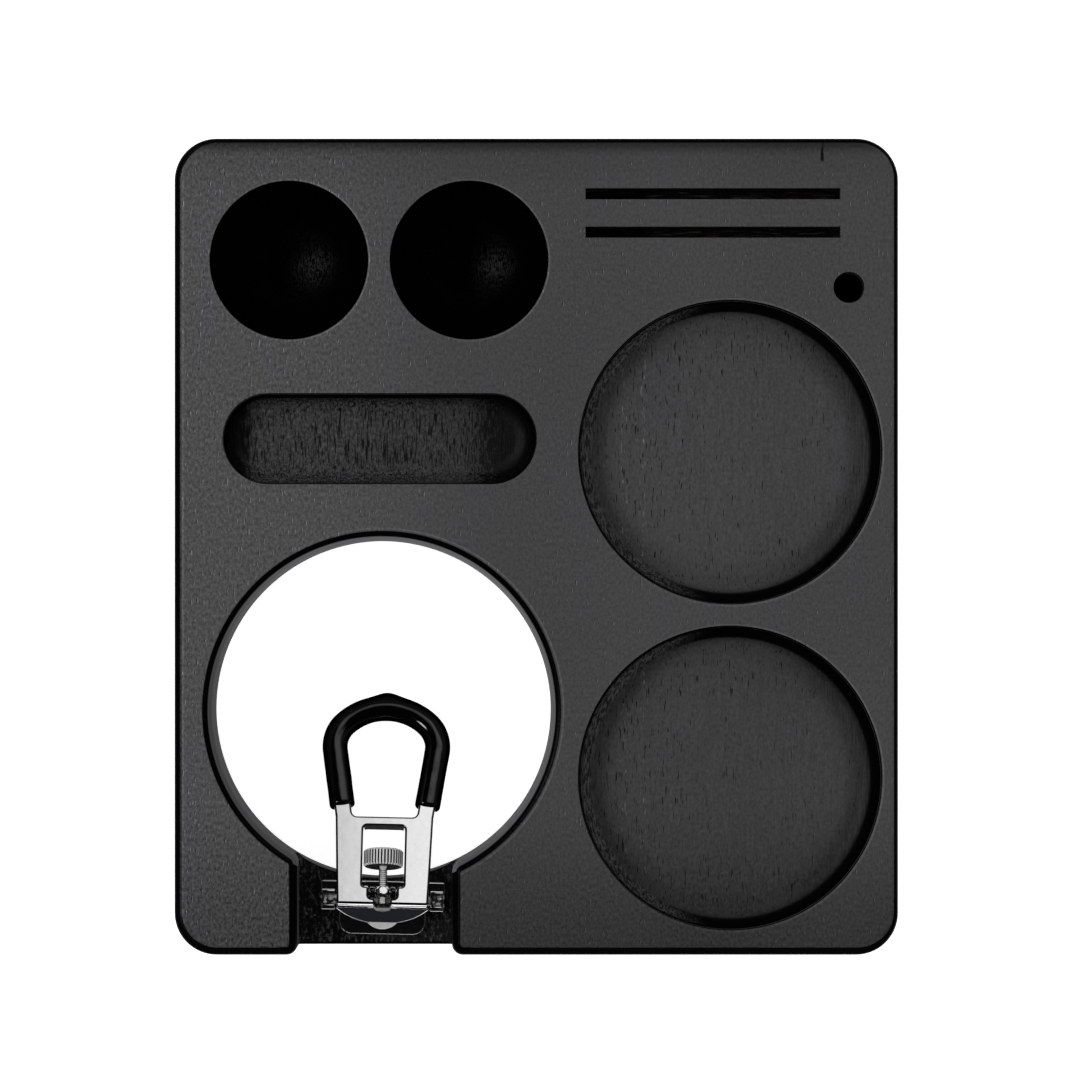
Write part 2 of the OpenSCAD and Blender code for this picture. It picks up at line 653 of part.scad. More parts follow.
// Ball-shaped nut with a pin on each side, which swivels between the lugs
module swivel_nut()
    color([0.78, 0.79, 0.8])
    on_screw() difference() {
        union() {
            sphere(nut_r);
            rotate([0, 90, 0]) cylinder(h = 2 * lug_out, r = nut_pin_r, center = true);
        }
        cylinder(h = 4 * nut_r, r = thread_r + running_fit, center = true);
    }

// Turned thumb screw: knurled knob and thread in one piece
module thumb_screw()
    color([0.72, 0.73, 0.75])
    on_screw() {
        translate([0, 0, -knob_gap - 0.01]) cylinder(h = tail_l + knob_gap + 0.01, r = thread_r);
        translate([0, 0, -knob_gap - knob_l]) linear_extrude(knob_l) difference() {
            circle(knob_r);
            for (i = [0 : knob_ribs - 1])
                rotate(i * 360 / knob_ribs) translate([knob_r, 0]) rotate(45)
                    square(rib_depth * sqrt(2), center = true);
        }
    }

wood_block();
foot(-1, -1);  // foot_front_left
foot(1, -1);  // foot_front_right
foot(-1, 1);  // foot_rear_left
foot(1, 1);  // foot_rear_right
bracket_base();
hinge_pin();
base_screws();
arm();
loop_coat();
swivel_nut();
thumb_screw();
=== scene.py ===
# Espresso tamping station: a black-stained block of open-pored timber with pockets for the tools, an
# open ring for the portafilter, and a chromed rest that tilts on a hinge in the ring's front channel.
# Metres. The origin is under the middle of the block, +Z is up and the channel opens to -Y.
import math

import bmesh
import bpy
from mathutils import Matrix, Vector, noise


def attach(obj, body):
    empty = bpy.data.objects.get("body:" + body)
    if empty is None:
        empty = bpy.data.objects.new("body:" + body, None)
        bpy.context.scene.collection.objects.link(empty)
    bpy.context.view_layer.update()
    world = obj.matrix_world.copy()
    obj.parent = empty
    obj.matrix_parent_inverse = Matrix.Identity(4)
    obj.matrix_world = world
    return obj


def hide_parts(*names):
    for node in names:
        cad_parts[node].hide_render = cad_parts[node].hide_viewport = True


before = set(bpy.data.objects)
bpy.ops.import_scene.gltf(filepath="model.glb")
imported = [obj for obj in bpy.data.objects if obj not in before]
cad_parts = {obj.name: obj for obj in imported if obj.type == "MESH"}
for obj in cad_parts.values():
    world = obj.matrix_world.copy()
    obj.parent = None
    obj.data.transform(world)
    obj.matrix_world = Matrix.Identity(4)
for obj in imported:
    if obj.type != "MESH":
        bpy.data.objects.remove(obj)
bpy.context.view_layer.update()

# Camera: straight above the block, as in the photograph, and so far away that the pockets' walls
# hardly show. Its picture is 216.4 mm wide at the block's top face.
mm = 0.001
block_top = 50 * mm
camera_height = 3.6
picture_width = 216.4 * mm
camera = bpy.data.objects.new("camera", bpy.data.cameras.new("camera"))
bpy.context.scene.collection.objects.link(camera)
camera.location = (0.74 * mm, 1.34 * mm, block_top + camera_height)
camera.data.sensor_width = 36
camera.data.lens = camera.data.sensor_width * camera_height / picture_width
camera.data.clip_start, camera.data.clip_end = 0.05, 50
bpy.context.scene.camera = camera
bpy.context.scene.view_settings.view_transform = "Standard"


# Studio: a white sweep of paper under the block, a small lamp at its left and an evenly bright room.
# Black cards hang over the camera and lie round the block. Only mirrored rays meet them, so that
# level chrome mirrors black as it does in the photograph.
class Wire:
    """One output of a material's node. Arithmetic on wires adds Math nodes."""

    def __init__(self, finish, socket):
        self.finish, self.socket = finish, socket

    def maths(self, operation, *values):
        return self.finish.add("ShaderNodeMath", {"operation": operation}, dict(enumerate(values)))

    def __add__(self, other):
        return self.maths("ADD", self, other)

    def __radd__(self, other):
        return self.maths("ADD", other, self)

    def __sub__(self, other):
        return self.maths("SUBTRACT", self, other)

    def __rsub__(self, other):
        return self.maths("SUBTRACT", other, self)

    def __mul__(self, other):
        return self.maths("MULTIPLY", self, other)

    def __rmul__(self, other):
        return self.maths("MULTIPLY", other, self)

    def __pow__(self, other):
        return self.maths("POWER", self, other)

    def __abs__(self):
        return self.maths("ABSOLUTE", self)

    def least(self, other):
        return self.maths("MINIMUM", self, other)

    def most(self, other):
        return self.maths("MAXIMUM", self, other)

    def within(self, low, high, soft=1.0):
        """1 between low and high, and a smooth step down to 0 outside them."""
        return self.rise(low - soft, low) * self.rise(high + soft, high)

    def rise(self, low, high):
        """0 below low, 1 above high, and a smooth step between. With low above high it falls."""
        return self.finish.add(
            "ShaderNodeMapRange",
            {"interpolation_type": "SMOOTHSTEP"},
            {"Value": self, "From Min": low, "From Max": high},
        )


class Finish:
    """The node tree of one material, or of the world."""

    def __init__(self, owner):
        owner.use_nodes = True
        self.owner, self.tree = owner, owner.node_tree
        self.tree.nodes.clear()

    def add(self, kind, settings=None, sockets=None, out=0):
        """Adds a node: its settings first, then the values or wires of its sockets."""
        node = self.tree.nodes.new(kind)
        for name, value in (settings or {}).items():
            setattr(node, name, value)
        for name, value in (sockets or {}).items():
            socket = node.inputs[name]
            if isinstance(value, Wire):
                self.tree.links.new(value.socket, socket)
            elif isinstance(value, tuple) and socket.type == "RGBA":
                socket.default_value = (*value, 1)
            else:
                socket.default_value = value
        return Wire(self, node.outputs[out])

    def place(self):
        """The place on the object, in millimetres of the shared frame."""
        spot = self.add("ShaderNodeTexCoord", out="Object")
        return self.vector("MULTIPLY", spot, (1000, 1000, 1000))

    def vector(self, operation, *values, out=0):
        return self.add("ShaderNodeVectorMath", {"operation": operation}, dict(enumerate(values)), out)

    def axes(self, spot):
        """The three numbers of a vector."""
        parts = self.tree.nodes.new("ShaderNodeSeparateXYZ")
        self.tree.links.new(spot.socket, parts.inputs[0])
        return [Wire(self, output) for output in parts.outputs]

    def join(self, across, along, up):
        """A vector, or a colour, from three numbers."""
        return self.add("ShaderNodeCombineXYZ", None, {"X": across, "Y": along, "Z": up})

    def grain(self, spot, stretch, detail=2.0, rough=0.5, shift=0.0):
        """Noise with one feature per millimetre, squeezed along each axis by the stretch."""
        squeezed = self.vector("MULTIPLY_ADD", spot, stretch, (shift, shift, shift))
        return self.add(
            "ShaderNodeTexNoise", None,
            {"Vector": squeezed, "Scale": 1.0, "Detail": detail, "Roughness": rough})

    def blend(self, factor, low, high):
        """Colour low where the factor is 0 and colour high where it is 1."""
        node = self.tree.nodes.new("ShaderNodeMix")
        node.data_type = "RGBA"
        for name, value in (("Factor_Float", factor), ("A_Color", low), ("B_Color", high)):
            socket = next(s for s in node.inputs if s.identifier == name)
            if isinstance(value, Wire):
                self.tree.links.new(value.socket, socket)
            else:
                socket.default_value = (*value, 1) if isinstance(value, tuple) else value
        return Wire(self, next(s for s in node.outputs if s.identifier == "Result_Color"))

    def relief(self, height, depth):
        """A normal from a height that runs from 0 to 1, for a relief of that depth in millimetres."""
        return self.add("ShaderNodeBump", None, {"Height": height, "Strength": 1.0, "Distance": depth * mm})

    def surface(self, matte=None, **sockets):
        """Ends the tree in a Principled shader, or in its mix with a matte one of the same colour."""
        named = {name.replace("_", " "): value for name, value in sockets.items()}
        shader = self.add("ShaderNodeBsdfPrincipled", None, named)
        if matte:
            dull = self.add("ShaderNodeBsdfDiffuse", None, {"Color": named["Base Color"]})
            shader = self.add("ShaderNodeMixShader", None, {0: matte, 1: shader, 2: dull})
        self.output(shader)
        return self.owner

    def output(self, shader, kind="ShaderNodeOutputMaterial"):
        end = self.tree.nodes.new(kind)
        self.tree.links.new(shader.socket, end.inputs["Surface"])


def background_rays(finish):
    """1 for rays that show a background: those of the camera, and mirrored or refracted ones."""
    seen = [finish.add("ShaderNodeLightPath", out=f"Is {kind} Ray")
            for kind in ("Camera", "Glossy", "Transmission")]
    return (seen[0] + seen[1] + seen[2]).least(1)


paper = Finish(bpy.data.materials.new("paper_sweep"))
paper_diffuse = paper.add("ShaderNodeBsdfDiffuse", None, {"Color": (0.8, 0.8, 0.8)})
paper_glow = paper.add("ShaderNodeEmission", None,
                       {"Color": (1.0, 1.0, 1.0), "Strength": background_rays(paper) * 0.86})
paper.output(paper.add("ShaderNodeAddShader", None, {0: paper_diffuse, 1: paper_glow}))

sweep_half = 7.0
square = ((-1, -1), (1, -1), (1, 1), (-1, 1))
sweep_mesh = bpy.data.meshes.new("paper_sweep")
sweep_mesh.from_pydata([(x * sweep_half, y * sweep_half, 0) for x, y in square], [], [(0, 1, 2, 3)])
sweep = bpy.data.objects.new("paper_sweep", sweep_mesh)
sweep_mesh.materials.append(paper.owner)
bpy.context.scene.collection.objects.link(sweep)


def card(name, corners, shade):
    """A dark card of the studio. Only mirrored rays meet it, as when it stands out of the picture."""
    dark = Finish(bpy.data.materials.new(name))
    dark.output(dark.add("ShaderNodeBsdfDiffuse", None, {"Color": shade}))
    mesh = bpy.data.meshes.new(name)
    mesh.from_pydata(corners, [], [(0, 1, 2, 3)])
    mesh.materials.append(dark.owner)
    board = bpy.data.objects.new(name, mesh)
    bpy.context.scene.collection.objects.link(board)
    board.visible_camera = board.visible_diffuse = board.visible_shadow = False


ceiling_half, ceiling_z, ceiling_shade = 1.15, 4.2, (0.004, 0.004, 0.004)
card("dark_ceiling", [(x * ceiling_half, y * ceiling_half, ceiling_z) for x, y in square], ceiling_shade)
skirt_z, skirt_beside, skirt_before, skirt_far = 0.4 * mm, 0.15, 0.146, 3.2
skirt_shade = (0.017, 0.018, 0.024)
strip_left, strip_right, strip_front, strip_rear = -0.12, 0.06, -0.1075, -0.1035
for name, x0, y0, x1, y1 in (
        ("front_strip", strip_left, strip_front, strip_right, strip_rear),
        ("front_skirt", -skirt_far, -skirt_far, skirt_far, -skirt_before),
        ("rear_skirt", -skirt_far, skirt_before, skirt_far, skirt_far),
        ("left_skirt", -skirt_far, -skirt_before, -skirt_beside, skirt_before),
        ("right_skirt", skirt_beside, -skirt_before, skirt_far, skirt_before)):
    card(name, [(x0, y0, skirt_z), (x1, y0, skirt_z), (x1, y1, skirt_z), (x0, y1, skirt_z)], skirt_shade)

# The room round it is evenly bright. Mirrored rays find it dark, but for a broad diffuser behind the
# block to the right, a lower one behind it to the left, and the pale horizon.
sky = Finish(bpy.context.scene.world or bpy.data.worlds.new("studio"))
bpy.context.scene.world = sky.owner
to_right, to_rear, to_zenith = sky.axes(sky.add("ShaderNodeTexCoord", out="Generated"))
seen_by_camera = sky.add("ShaderNodeLightPath", out="Is Camera Ray")
mirrored_ray = sky.add("ShaderNodeLightPath", out="Is Glossy Ray")
room_light = 0.85
rear_diffuser = (to_right.rise(-0.11, 0.05) * to_right.rise(0.80, 0.25) * to_rear.rise(0.25, 0.45)
                 * to_zenith.rise(0.36, 0.54) * to_zenith.rise(0.81, 0.735))
left_diffuser = (to_right.rise(-0.75, -0.55) * to_right.rise(-0.10, -0.25) * to_rear.rise(0.4, 0.6)
                 * to_zenith.rise(0.18, 0.30) * to_zenith.rise(0.52, 0.42))
horizon = to_zenith.rise(0.05, 0.02)
dark_wall, rear_glow, left_glow, horizon_glow = 0.006, 1.02, 0.5, 0.25
mirrored_room = dark_wall + rear_glow * rear_diffuser + left_glow * left_diffuser + horizon_glow * horizon
white = (1.0, 1.0, 1.0)
even_room = sky.add("ShaderNodeBackground", None, {
    "Color": white, "Strength": seen_by_camera + (1 - seen_by_camera) * room_light})
dark_room = sky.add("ShaderNodeBackground", None, {"Color": white, "Strength": mirrored_room})
sky.output(sky.add("ShaderNodeMixShader", None, {0: mirrored_ray, 1: even_room, 2: dark_room}),
           "ShaderNodeOutputWorld")


lamp_azimuth, lamp_elevation, lamp_distance = -104, 57, 1.7
lamp_length, lamp_width, lamp_glow = 0.5, 0.24, 10
lamp = bpy.data.lights.new("left_lamp", "AREA")
lamp.shape, lamp.size, lamp.size_y = "RECTANGLE", lamp_length, lamp_width
lamp.energy = lamp_glow * math.pi * lamp_length * lamp_width
turn, lift = math.radians(lamp_azimuth), math.radians(lamp_elevation)
to_lamp = Vector((math.sin(turn) * math.cos(lift), -math.cos(turn) * math.cos(lift), math.sin(lift)))
lamp_stand = bpy.data.objects.new("left_lamp", lamp)
lamp_stand.location = to_lamp * lamp_distance
lamp_stand.rotation_euler = (-to_lamp).to_track_quat("-Z", "Y").to_euler()
bpy.context.scene.collection.objects.link(lamp_stand)


# Wood block: one piece of ring-porous timber, stained black and lacquered thinly, with routed
# pockets. The plan outline runs round the block and in along the channel and the ring.
block_half = Vector((72.5, 81.8)) * mm
block_base = 2 * mm
corner_r, edge_r, mouth_r, meeting_r = 8.4 * mm, 1.8 * mm, 2.2 * mm, 2.7 * mm
ring_centre, ring_r, ring_edge_r = Vector((-31, -32.8)) * mm, 33.9 * mm, 2.4 * mm
channel_x, channel_half, channel_edge_r = -32.4 * mm, 15.5 * mm, 1.9 * mm
shelf_z, shelf_front = 24 * mm, -80.2 * mm


def arc(centre, radius, start, end, steps, hollow=False):
    """Points of an arc in plan, each with the direction in which it looks away from the wood."""
    look = -1 if hollow else 1
    turns = [math.radians(start + (end - start) * i / steps) for i in range(steps + 1)]
    return [(centre[0] + radius * math.cos(t), centre[1] + radius * math.sin(t),
             look * math.cos(t), look * math.sin(t)) for t in turns]


def meeting(side):
    """Centre of the rounding where a wall of the channel meets the ring, and its direction there."""
    x = channel_x + side * (channel_half + meeting_r)
    y = ring_centre.y - math.sqrt((ring_r + meeting_r) ** 2 - (x - ring_centre.x) ** 2)
    return (x, y), math.degrees(math.atan2(ring_centre.y - y, ring_centre.x - x))


(left_meeting, left_turn), (right_meeting, right_turn) = meeting(-1), meeting(1)
bx, by = block_half.x - corner_r, block_half.y - corner_r
mouth_y = -block_half.y + mouth_r
left_wall, right_wall = channel_x - channel_half, channel_x + channel_half
outer_corners = (arc((bx, -by), corner_r, -90, 0, 14) + arc((bx, by), corner_r, 0, 90, 14)
                 + arc((-bx, by), corner_r, 90, 180, 14) + arc((-bx, -by), corner_r, 180, 270, 14))
left_mouth = arc((left_wall - mouth_r, mouth_y), mouth_r, 270, 360, 10)
right_mouth = arc((right_wall + mouth_r, mouth_y), mouth_r, 180, 270, 10)
left_round = arc(left_meeting, meeting_r, 0, left_turn, 10)
right_round = arc(right_meeting, meeting_r, right_turn, 180, 10)
ring_wall = arc(ring_centre, ring_r, left_turn + 180, right_turn - 180, 144, hollow=True)
ring_front = arc(ring_centre, ring_r, right_turn + 180, left_turn + 180, 24, hollow=True)[1:-1]


def eased(points, first, last):
    """Edge radii along points, from the first to the last."""
    n = len(points) - 1
    return [first + (last - first) * i / n for i in range(n + 1)]


upper_loop = outer_corners + left_mouth + left_round + ring_wall[1:-1] + right_round + right_mouth
upper_radii = ([edge_r] * len(outer_corners) + eased(left_mouth, edge_r, channel_edge_r)
               + eased(left_round, channel_edge_r, ring_edge_r) + [ring_edge_r] * (len(ring_wall) - 2)
               + eased(right_round, ring_edge_r, channel_edge_r) + eased(right_mouth, channel_edge_r, edge_r))


def ring_of(bm, loop, inset, z):
    """Vertices on a loop moved by the inset, one for all or one for each point, away from the void."""
    insets = inset if isinstance(inset, list) else [inset] * len(loop)
    return [bm.verts.new((x - nx * d, y - ny * d, z if not isinstance(z, list) else z[i]))
            for i, ((x, y, nx, ny), d) in enumerate(zip(loop, insets))]


def bridge(bm, first, second, closed=True):
    """Smooth quads between two rows of vertices. Faces that fill a loop stay flat."""
    n = len(first)
    for i in range(n if closed else n - 1):
        j = (i + 1) % n
        bm.faces.new((first[i], first[j], second[j], second[i])).smooth = True


def loft(bm, rows, closed=True):
    for first, second in zip(rows, rows[1:]):
        bridge(bm, first, second, closed)


def rounding(bm, loop, radii, z, down, steps=8):
    """Rows of vertices that round the edge between a level face at z and the loop's upright wall."""
    radii = radii if isinstance(radii, list) else [radii] * len(loop)
    rows = []
    for k in range(steps + 1):
        a = math.pi / 2 * k / steps
        rows.append(ring_of(bm, loop, [r * (1 - math.sin(a)) for r in radii],
                            [z - down * r * (1 - math.cos(a)) for r in radii]))
    return rows


def edges_of(row, bm):
    """The edges between neighbours of a closed row of vertices."""
    return [bm.edges.get((row[i], row[(i + 1) % len(row)])) for i in range(len(row))]


def circle_loop(centre, radius, steps):
    return arc(centre, radius, 0, 360, steps, hollow=True)[:-1]


def stadium_loop(centre, length, width, steps=24):
    reach, r = (length - width) / 2, width / 2
    return (arc((centre[0] + reach, centre[1]), r, -90, 90, steps, hollow=True)
            + arc((centre[0] - reach, centre[1]), r, 90, 270, steps, hollow=True))


def slot_loop(centre, length, width):
    return [(centre[0] + sx * length / 2, centre[1] + sy * width / 2, -sx, -sy)
            for sx, sy in ((1, -1), (1, 1), (-1, 1), (-1, -1))]


def cove(radius, depth, steps=10):
    """Inset and depth of each row from an upright wall round into a level floor."""
    return [(radius * (1 - math.cos(a)), depth - radius + radius * math.sin(a))
            for a in (math.pi / 2 * k / steps for k in range(steps + 1))]


def rim(radius, steps=5):
    """Inset and depth of each row from the level top round into an upright wall."""
    return [(-radius * (1 - math.sin(a)), radius * (1 - math.cos(a)))
            for a in (math.pi / 2 * k / steps for k in range(steps + 1))]


tray_r, bowl_r, bowl_wall = 30.3 * mm, 15.8 * mm, 13 * mm
rear_tray, front_tray = (38.8 * mm, 18.9 * mm), (38.8 * mm, -46.4 * mm)
left_bowl, right_bowl = (-49.6 * mm, 57.4 * mm), (-13.5 * mm, 57.4 * mm)
oblong, oblong_l, oblong_w = (-31.4 * mm, 21.6 * mm), 62.8 * mm, 18 * mm
rear_slot, front_slot = (35.4 * mm, 70.7 * mm), (35.4 * mm, 63 * mm)
slot_l, slot_w, slot_depth = 51 * mm, 2.1 * mm, 18 * mm
tool_hole, tool_hole_r, tool_hole_depth = (62.6 * mm, 51.9 * mm), 2.93 * mm, 20 * mm
pocket_cove, tray_depth, oblong_depth = 4.5 * mm, 8 * mm, 9 * mm
tray_rim, bowl_rim, slot_rim, hole_rim = 0.35 * mm, 0.2 * mm, 0.15 * mm, 0.3 * mm
bowl_steps = 24
tray_profile = rim(tray_rim) + cove(pocket_cove, tray_depth)
bowl_profile = rim(bowl_rim) + [
    (bowl_r * (1 - math.cos(a)), bowl_wall + bowl_r * math.sin(a))
    for a in (math.pi / 2 * k / bowl_steps for k in range(bowl_steps))]
oblong_profile = rim(bowl_rim) + cove(pocket_cove, oblong_depth)
slot_profile = rim(slot_rim, 2) + [(0, slot_depth)]
pockets = [
    (circle_loop(rear_tray, tray_r, 144), tray_profile),
    (circle_loop(front_tray, tray_r, 144), tray_profile),
    (circle_loop(left_bowl, bowl_r, 96), bowl_profile),
    (circle_loop(right_bowl, bowl_r, 96), bowl_profile),
    (stadium_loop(oblong, oblong_l, oblong_w), oblong_profile),
    (slot_loop(rear_slot, slot_l, slot_w), slot_profile),
    (slot_loop(front_slot, slot_l, slot_w), slot_profile),
    (circle_loop(tool_hole, tool_hole_r, 40), rim(hole_rim) + [(0, tool_hole_depth)]),
]

bm = bmesh.new()
top_rows = rounding(bm, upper_loop, upper_radii, block_top, 1)
top_rows.append(ring_of(bm, upper_loop, 0.0, shelf_z))
loft(bm, top_rows)
top_edges = edges_of(top_rows[0], bm)
for loop, profile in pockets:
    rows = [ring_of(bm, loop, -inset, block_top - depth) for inset, depth in profile]
    loft(bm, rows)
    bm.faces.new(rows[-1])
    top_edges += edges_of(rows[0], bm)
bmesh.ops.triangle_fill(bm, edges=top_edges, use_beauty=True, normal=(0, 0, 1))

notch_turn = math.degrees(math.asin((shelf_front - mouth_y) / mouth_r))
notch_x = mouth_r * (1 - math.cos(math.radians(notch_turn)))
notch_left = arc((left_wall - mouth_r, mouth_y), mouth_r, 270, 360 + notch_turn, 10)
notch_right = arc((right_wall + mouth_r, mouth_y), mouth_r, 180 - notch_turn, 270, 10)
notch_steps, notch_w = 24, right_wall - left_wall + 2 * notch_x
notch_line = [(left_wall - notch_x + notch_w * i / notch_steps, shelf_front, 0, -1)
              for i in range(1, notch_steps)]
shelf_edge_r = 0.7 * mm
lower_loop = outer_corners + notch_left + notch_line + notch_right
lower_radii = ([0.0] * (len(outer_corners) + len(notch_left))
               + [shelf_edge_r * min(1, i, notch_steps - i) for i in range(1, notch_steps)]
               + [0.0] * len(notch_right))
lower_rows = rounding(bm, lower_loop, lower_radii, shelf_z, 1, 4)
lower_rows += rounding(bm, lower_loop, edge_r, block_base, -1)[::-1]
loft(bm, lower_rows)
well_loop = ring_wall + ring_front
front_steps = len(ring_front) + 1
well_radii = [0.0] * len(ring_wall) + [
    shelf_edge_r * min(1, 0.4 * (min(i, front_steps - i) - 1)) for i in range(1, front_steps)]
well_rows = rounding(bm, well_loop, well_radii, shelf_z, 1, 4)
well_rows += rounding(bm, well_loop, edge_r, block_base, -1)[::-1]
loft(bm, well_rows)
bmesh.ops.triangle_fill(bm, edges=edges_of(lower_rows[-1], bm) + edges_of(well_rows[-1], bm),
                        use_beauty=True, normal=(0, 0, -1))
shelf_back = well_rows[0][len(ring_wall):]
shelf_sides = [ring_of(bm, points, 0.0, shelf_z) for points in (
    arc((right_wall + mouth_r, mouth_y), mouth_r, 180, 180 - notch_turn, 3)[::-1],
    right_round[::-1], left_round[::-1],
    arc((left_wall - mouth_r, mouth_y), mouth_r, 360, 360 + notch_turn, 3))]
shelf_line = lower_rows[0][len(outer_corners) + len(notch_left):-len(notch_right)]
bm.faces.new(shelf_line + shelf_sides[0] + shelf_sides[1] + shelf_back + shelf_sides[2] + shelf_sides[3])
bmesh.ops.remove_doubles(bm, verts=bm.verts, dist=0.004 * mm)
bmesh.ops.recalc_face_normals(bm, faces=bm.faces)


def piece(name, bm, finish, body, nodes=(), crease=30, keep_large=True):
    """Makes a piece from a mesh and its finish or finishes. Edges above the crease angle are sharp.
    Large faces shade evenly up to their roundings, or else each face stays as flat as it was made."""
    mesh = bpy.data.meshes.new(name)
    bm.to_mesh(mesh)
    rounded = [face.smooth for face in bm.faces]
    bm.free()
    mesh.set_sharp_from_angle(angle=math.radians(crease))
    for one in finish if isinstance(finish, list) else [finish]:
        mesh.materials.append(one)
    made = bpy.data.objects.new(name, mesh)
    bpy.context.scene.collection.objects.link(made)
    if keep_large:
        made.modifiers.new("even_shading", "WEIGHTED_NORMAL").keep_sharp = True
    else:
        mesh.polygons.foreach_set("use_smooth", rounded)
    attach(made, body)
    if nodes:
        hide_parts(*nodes)
    return made


def in_mm(size):
    """A size of the shared frame in millimetres, as the finish's places are."""
    return round(size / mm, 4)


# The block is stained black. Its level faces get a grey that is a painted sheen, and its roundings
# and deep places stay nearly black as painted shade. Pores run along Y, and the saw left bare fibres
# in the slots. Places are in millimetres.
wood = Finish(bpy.data.materials.new("black_stained_timber"))
spot = wood.place()
x, y, z = wood.axes(spot)
slope = wood.axes(wood.add("ShaderNodeNewGeometry", out="Normal"))
top, shelf, rear, right = in_mm(block_top), in_mm(shelf_z), in_mm(block_half.y), in_mm(block_half.x)
ring_x, ring_y, ring_wall_r = in_mm(ring_centre.x), in_mm(ring_centre.y), in_mm(ring_r)
ring_rim_r = ring_wall_r + in_mm(ring_edge_r)
channel_left, channel_right, channel_back = in_mm(left_wall), in_mm(right_wall), -62.0
tray_x, tray_wall_r = in_mm(rear_tray[0]), in_mm(tray_r)
tray_y, tray_reach = in_mm(rear_tray[1] + front_tray[1]) / 2, in_mm(rear_tray[1] - front_tray[1]) / 2
tray_left = tray_x - tray_wall_r
bowls_left, bowls_right = in_mm(left_bowl[0] - bowl_r), in_mm(right_bowl[0] + bowl_r)
bowls_front, bowls_rear = in_mm(left_bowl[1] - bowl_r), in_mm(left_bowl[1] + bowl_r)
oblong_x, oblong_y = in_mm(oblong[0]), in_mm(oblong[1])
oblong_left, oblong_right = oblong_x - in_mm(oblong_l) / 2, oblong_x + in_mm(oblong_l) / 2
oblong_front = oblong_y - in_mm(oblong_w) / 2


def from_centre(across, along):
    """Distance from a centre in plan, from its two parts."""
    return (across * across + along * along) ** 0.5


# Masks of the places that are finished in their own way
in_pocket = z.rise(top - 1, top - 2)
shallow = z.rise(top - 12, top - 10)
to_ring = from_centre(x - ring_x, y - ring_y)
at_channel = x.within(channel_left - 3, channel_right + 3) * y.rise(channel_back, channel_back - 1)
at_ring = to_ring.rise(ring_rim_r + 1.1, ring_rim_r + 0.5).most(at_channel)
bowls = (x.within(bowls_left - 2, bowls_right + 2) * y.within(bowls_front - 2, bowls_rear + 1)
         * z.rise(top - 0.1, top - 0.4))
upright = slope[2].rise(0.15, 0.02) * (1 - bowls)
in_oblong = (in_pocket * shallow * x.within(oblong_left - 2, oblong_right + 1)
             * y.rise(oblong_front - 3, oblong_front - 2))
on_shelf_face = z.rise(shelf + 1, shelf + 0.6) * y.rise(channel_back + 2, channel_back + 0.5)
slots_left, slots_right = in_mm(rear_slot[0] - slot_l / 2), in_mm(rear_slot[0] + slot_l / 2)
slots_front, slots_rear = in_mm(front_slot[1]), in_mm(rear_slot[1])
in_slots = (z.rise(top - 0.3, top - 0.8) * x.within(slots_left - 2, slots_right + 1)
            * y.within(slots_front - 2, slots_rear + 2))
in_tray = in_pocket * shallow * x.rise(tray_left - 3.5, tray_left - 2.5)
tray_across = (x - tray_x) * (1 / tray_wall_r)
tray_along = abs(abs(y - tray_y) - tray_reach) * (1 / tray_wall_r)
to_tray_rim = from_centre(tray_across, tray_along)
# The ring's wall below its rounding, which gets painted light
ring_wall_shade = slope[2].rise(0.84, 0.76) * to_ring.rise(ring_wall_r + 1.7, ring_wall_r + 1.5)

# Grain, pores and the unevenness of the painted sheen
torn = wood.grain(spot, (2.2, 0.5, 2.2), detail=2, rough=0.7, shift=12.0)
cloud = wood.grain(spot, (0.028, 0.014, 0.028), detail=1)
fibre = wood.grain(spot, (3.2, 0.16, 3.2), detail=3, rough=0.6)
peel = wood.grain(spot, (1.9, 1.2, 1.9), detail=3, rough=0.7, shift=3.0)
band = wood.grain(spot, (0.12, 0.012, 0.12), detail=2, shift=7.3)
vessel = wood.grain(spot, (3.6, 0.36, 3.6), detail=1, shift=31.0)
long_vessel = wood.grain(spot, (3.0, 0.13, 3.0), detail=2, shift=41.0)
bare = wood.grain(spot, (0.22, 2.6, 2.6), detail=2, shift=17.0)
fine = wood.grain(spot, (3.2, 1.1, 3.2), detail=1, rough=0.75, shift=23.0)
left_third = x.rise(-8.0, -52.0)
pale_line, second_line = tray_left + 9.1, tray_left + 12.9
tray_lines = in_tray * abs(x - pale_line).rise(1.0, 0.4).most(abs(x - second_line).rise(0.9, 0.3))


def dashes(at):
    """Short strokes along the grain, at open vessels that the top's lacquer bridges. They mark painted
    highlights and, moved aside, the painted shadows beside them.
    """
    stroke = wood.grain(at, (3.9, 0.50, 3.9), detail=1, shift=57.0)
    return (stroke + 0.09 * band + 0.045 * left_third + 0.07 * tray_lines).rise(0.765, 0.80)


# Each stroke gets a painted highlight; on the top a painted shadow lies just beside it
shadow_offset = (0.22, -0.1, 0.0)
pore_highlights = dashes(spot) * (1 - 0.8 * in_oblong) * (1 - 0.7 * in_tray * (1 - tray_lines))
pore_shadows = dashes(wood.vector("ADD", spot, shadow_offset)) * (1 - in_pocket)
tray_pores = tray_along.rise(0.35, 0.8).most(tray_across.rise(0.1, -0.7))
pore_share = 0.055 * in_oblong + 0.06 * in_pocket * tray_pores
open_pores = (vessel + 0.08 * band + pore_share).rise(0.755, 0.78) * in_pocket
long_share = 0.10 * abs(x - oblong_x + 8.6).rise(9.0, 24.0) + 0.035 * y.rise(oblong_y - 2.6, oblong_y + 2.4)
open_pores = open_pores.most(in_oblong * (long_vessel - long_share).rise(0.585, 0.615))
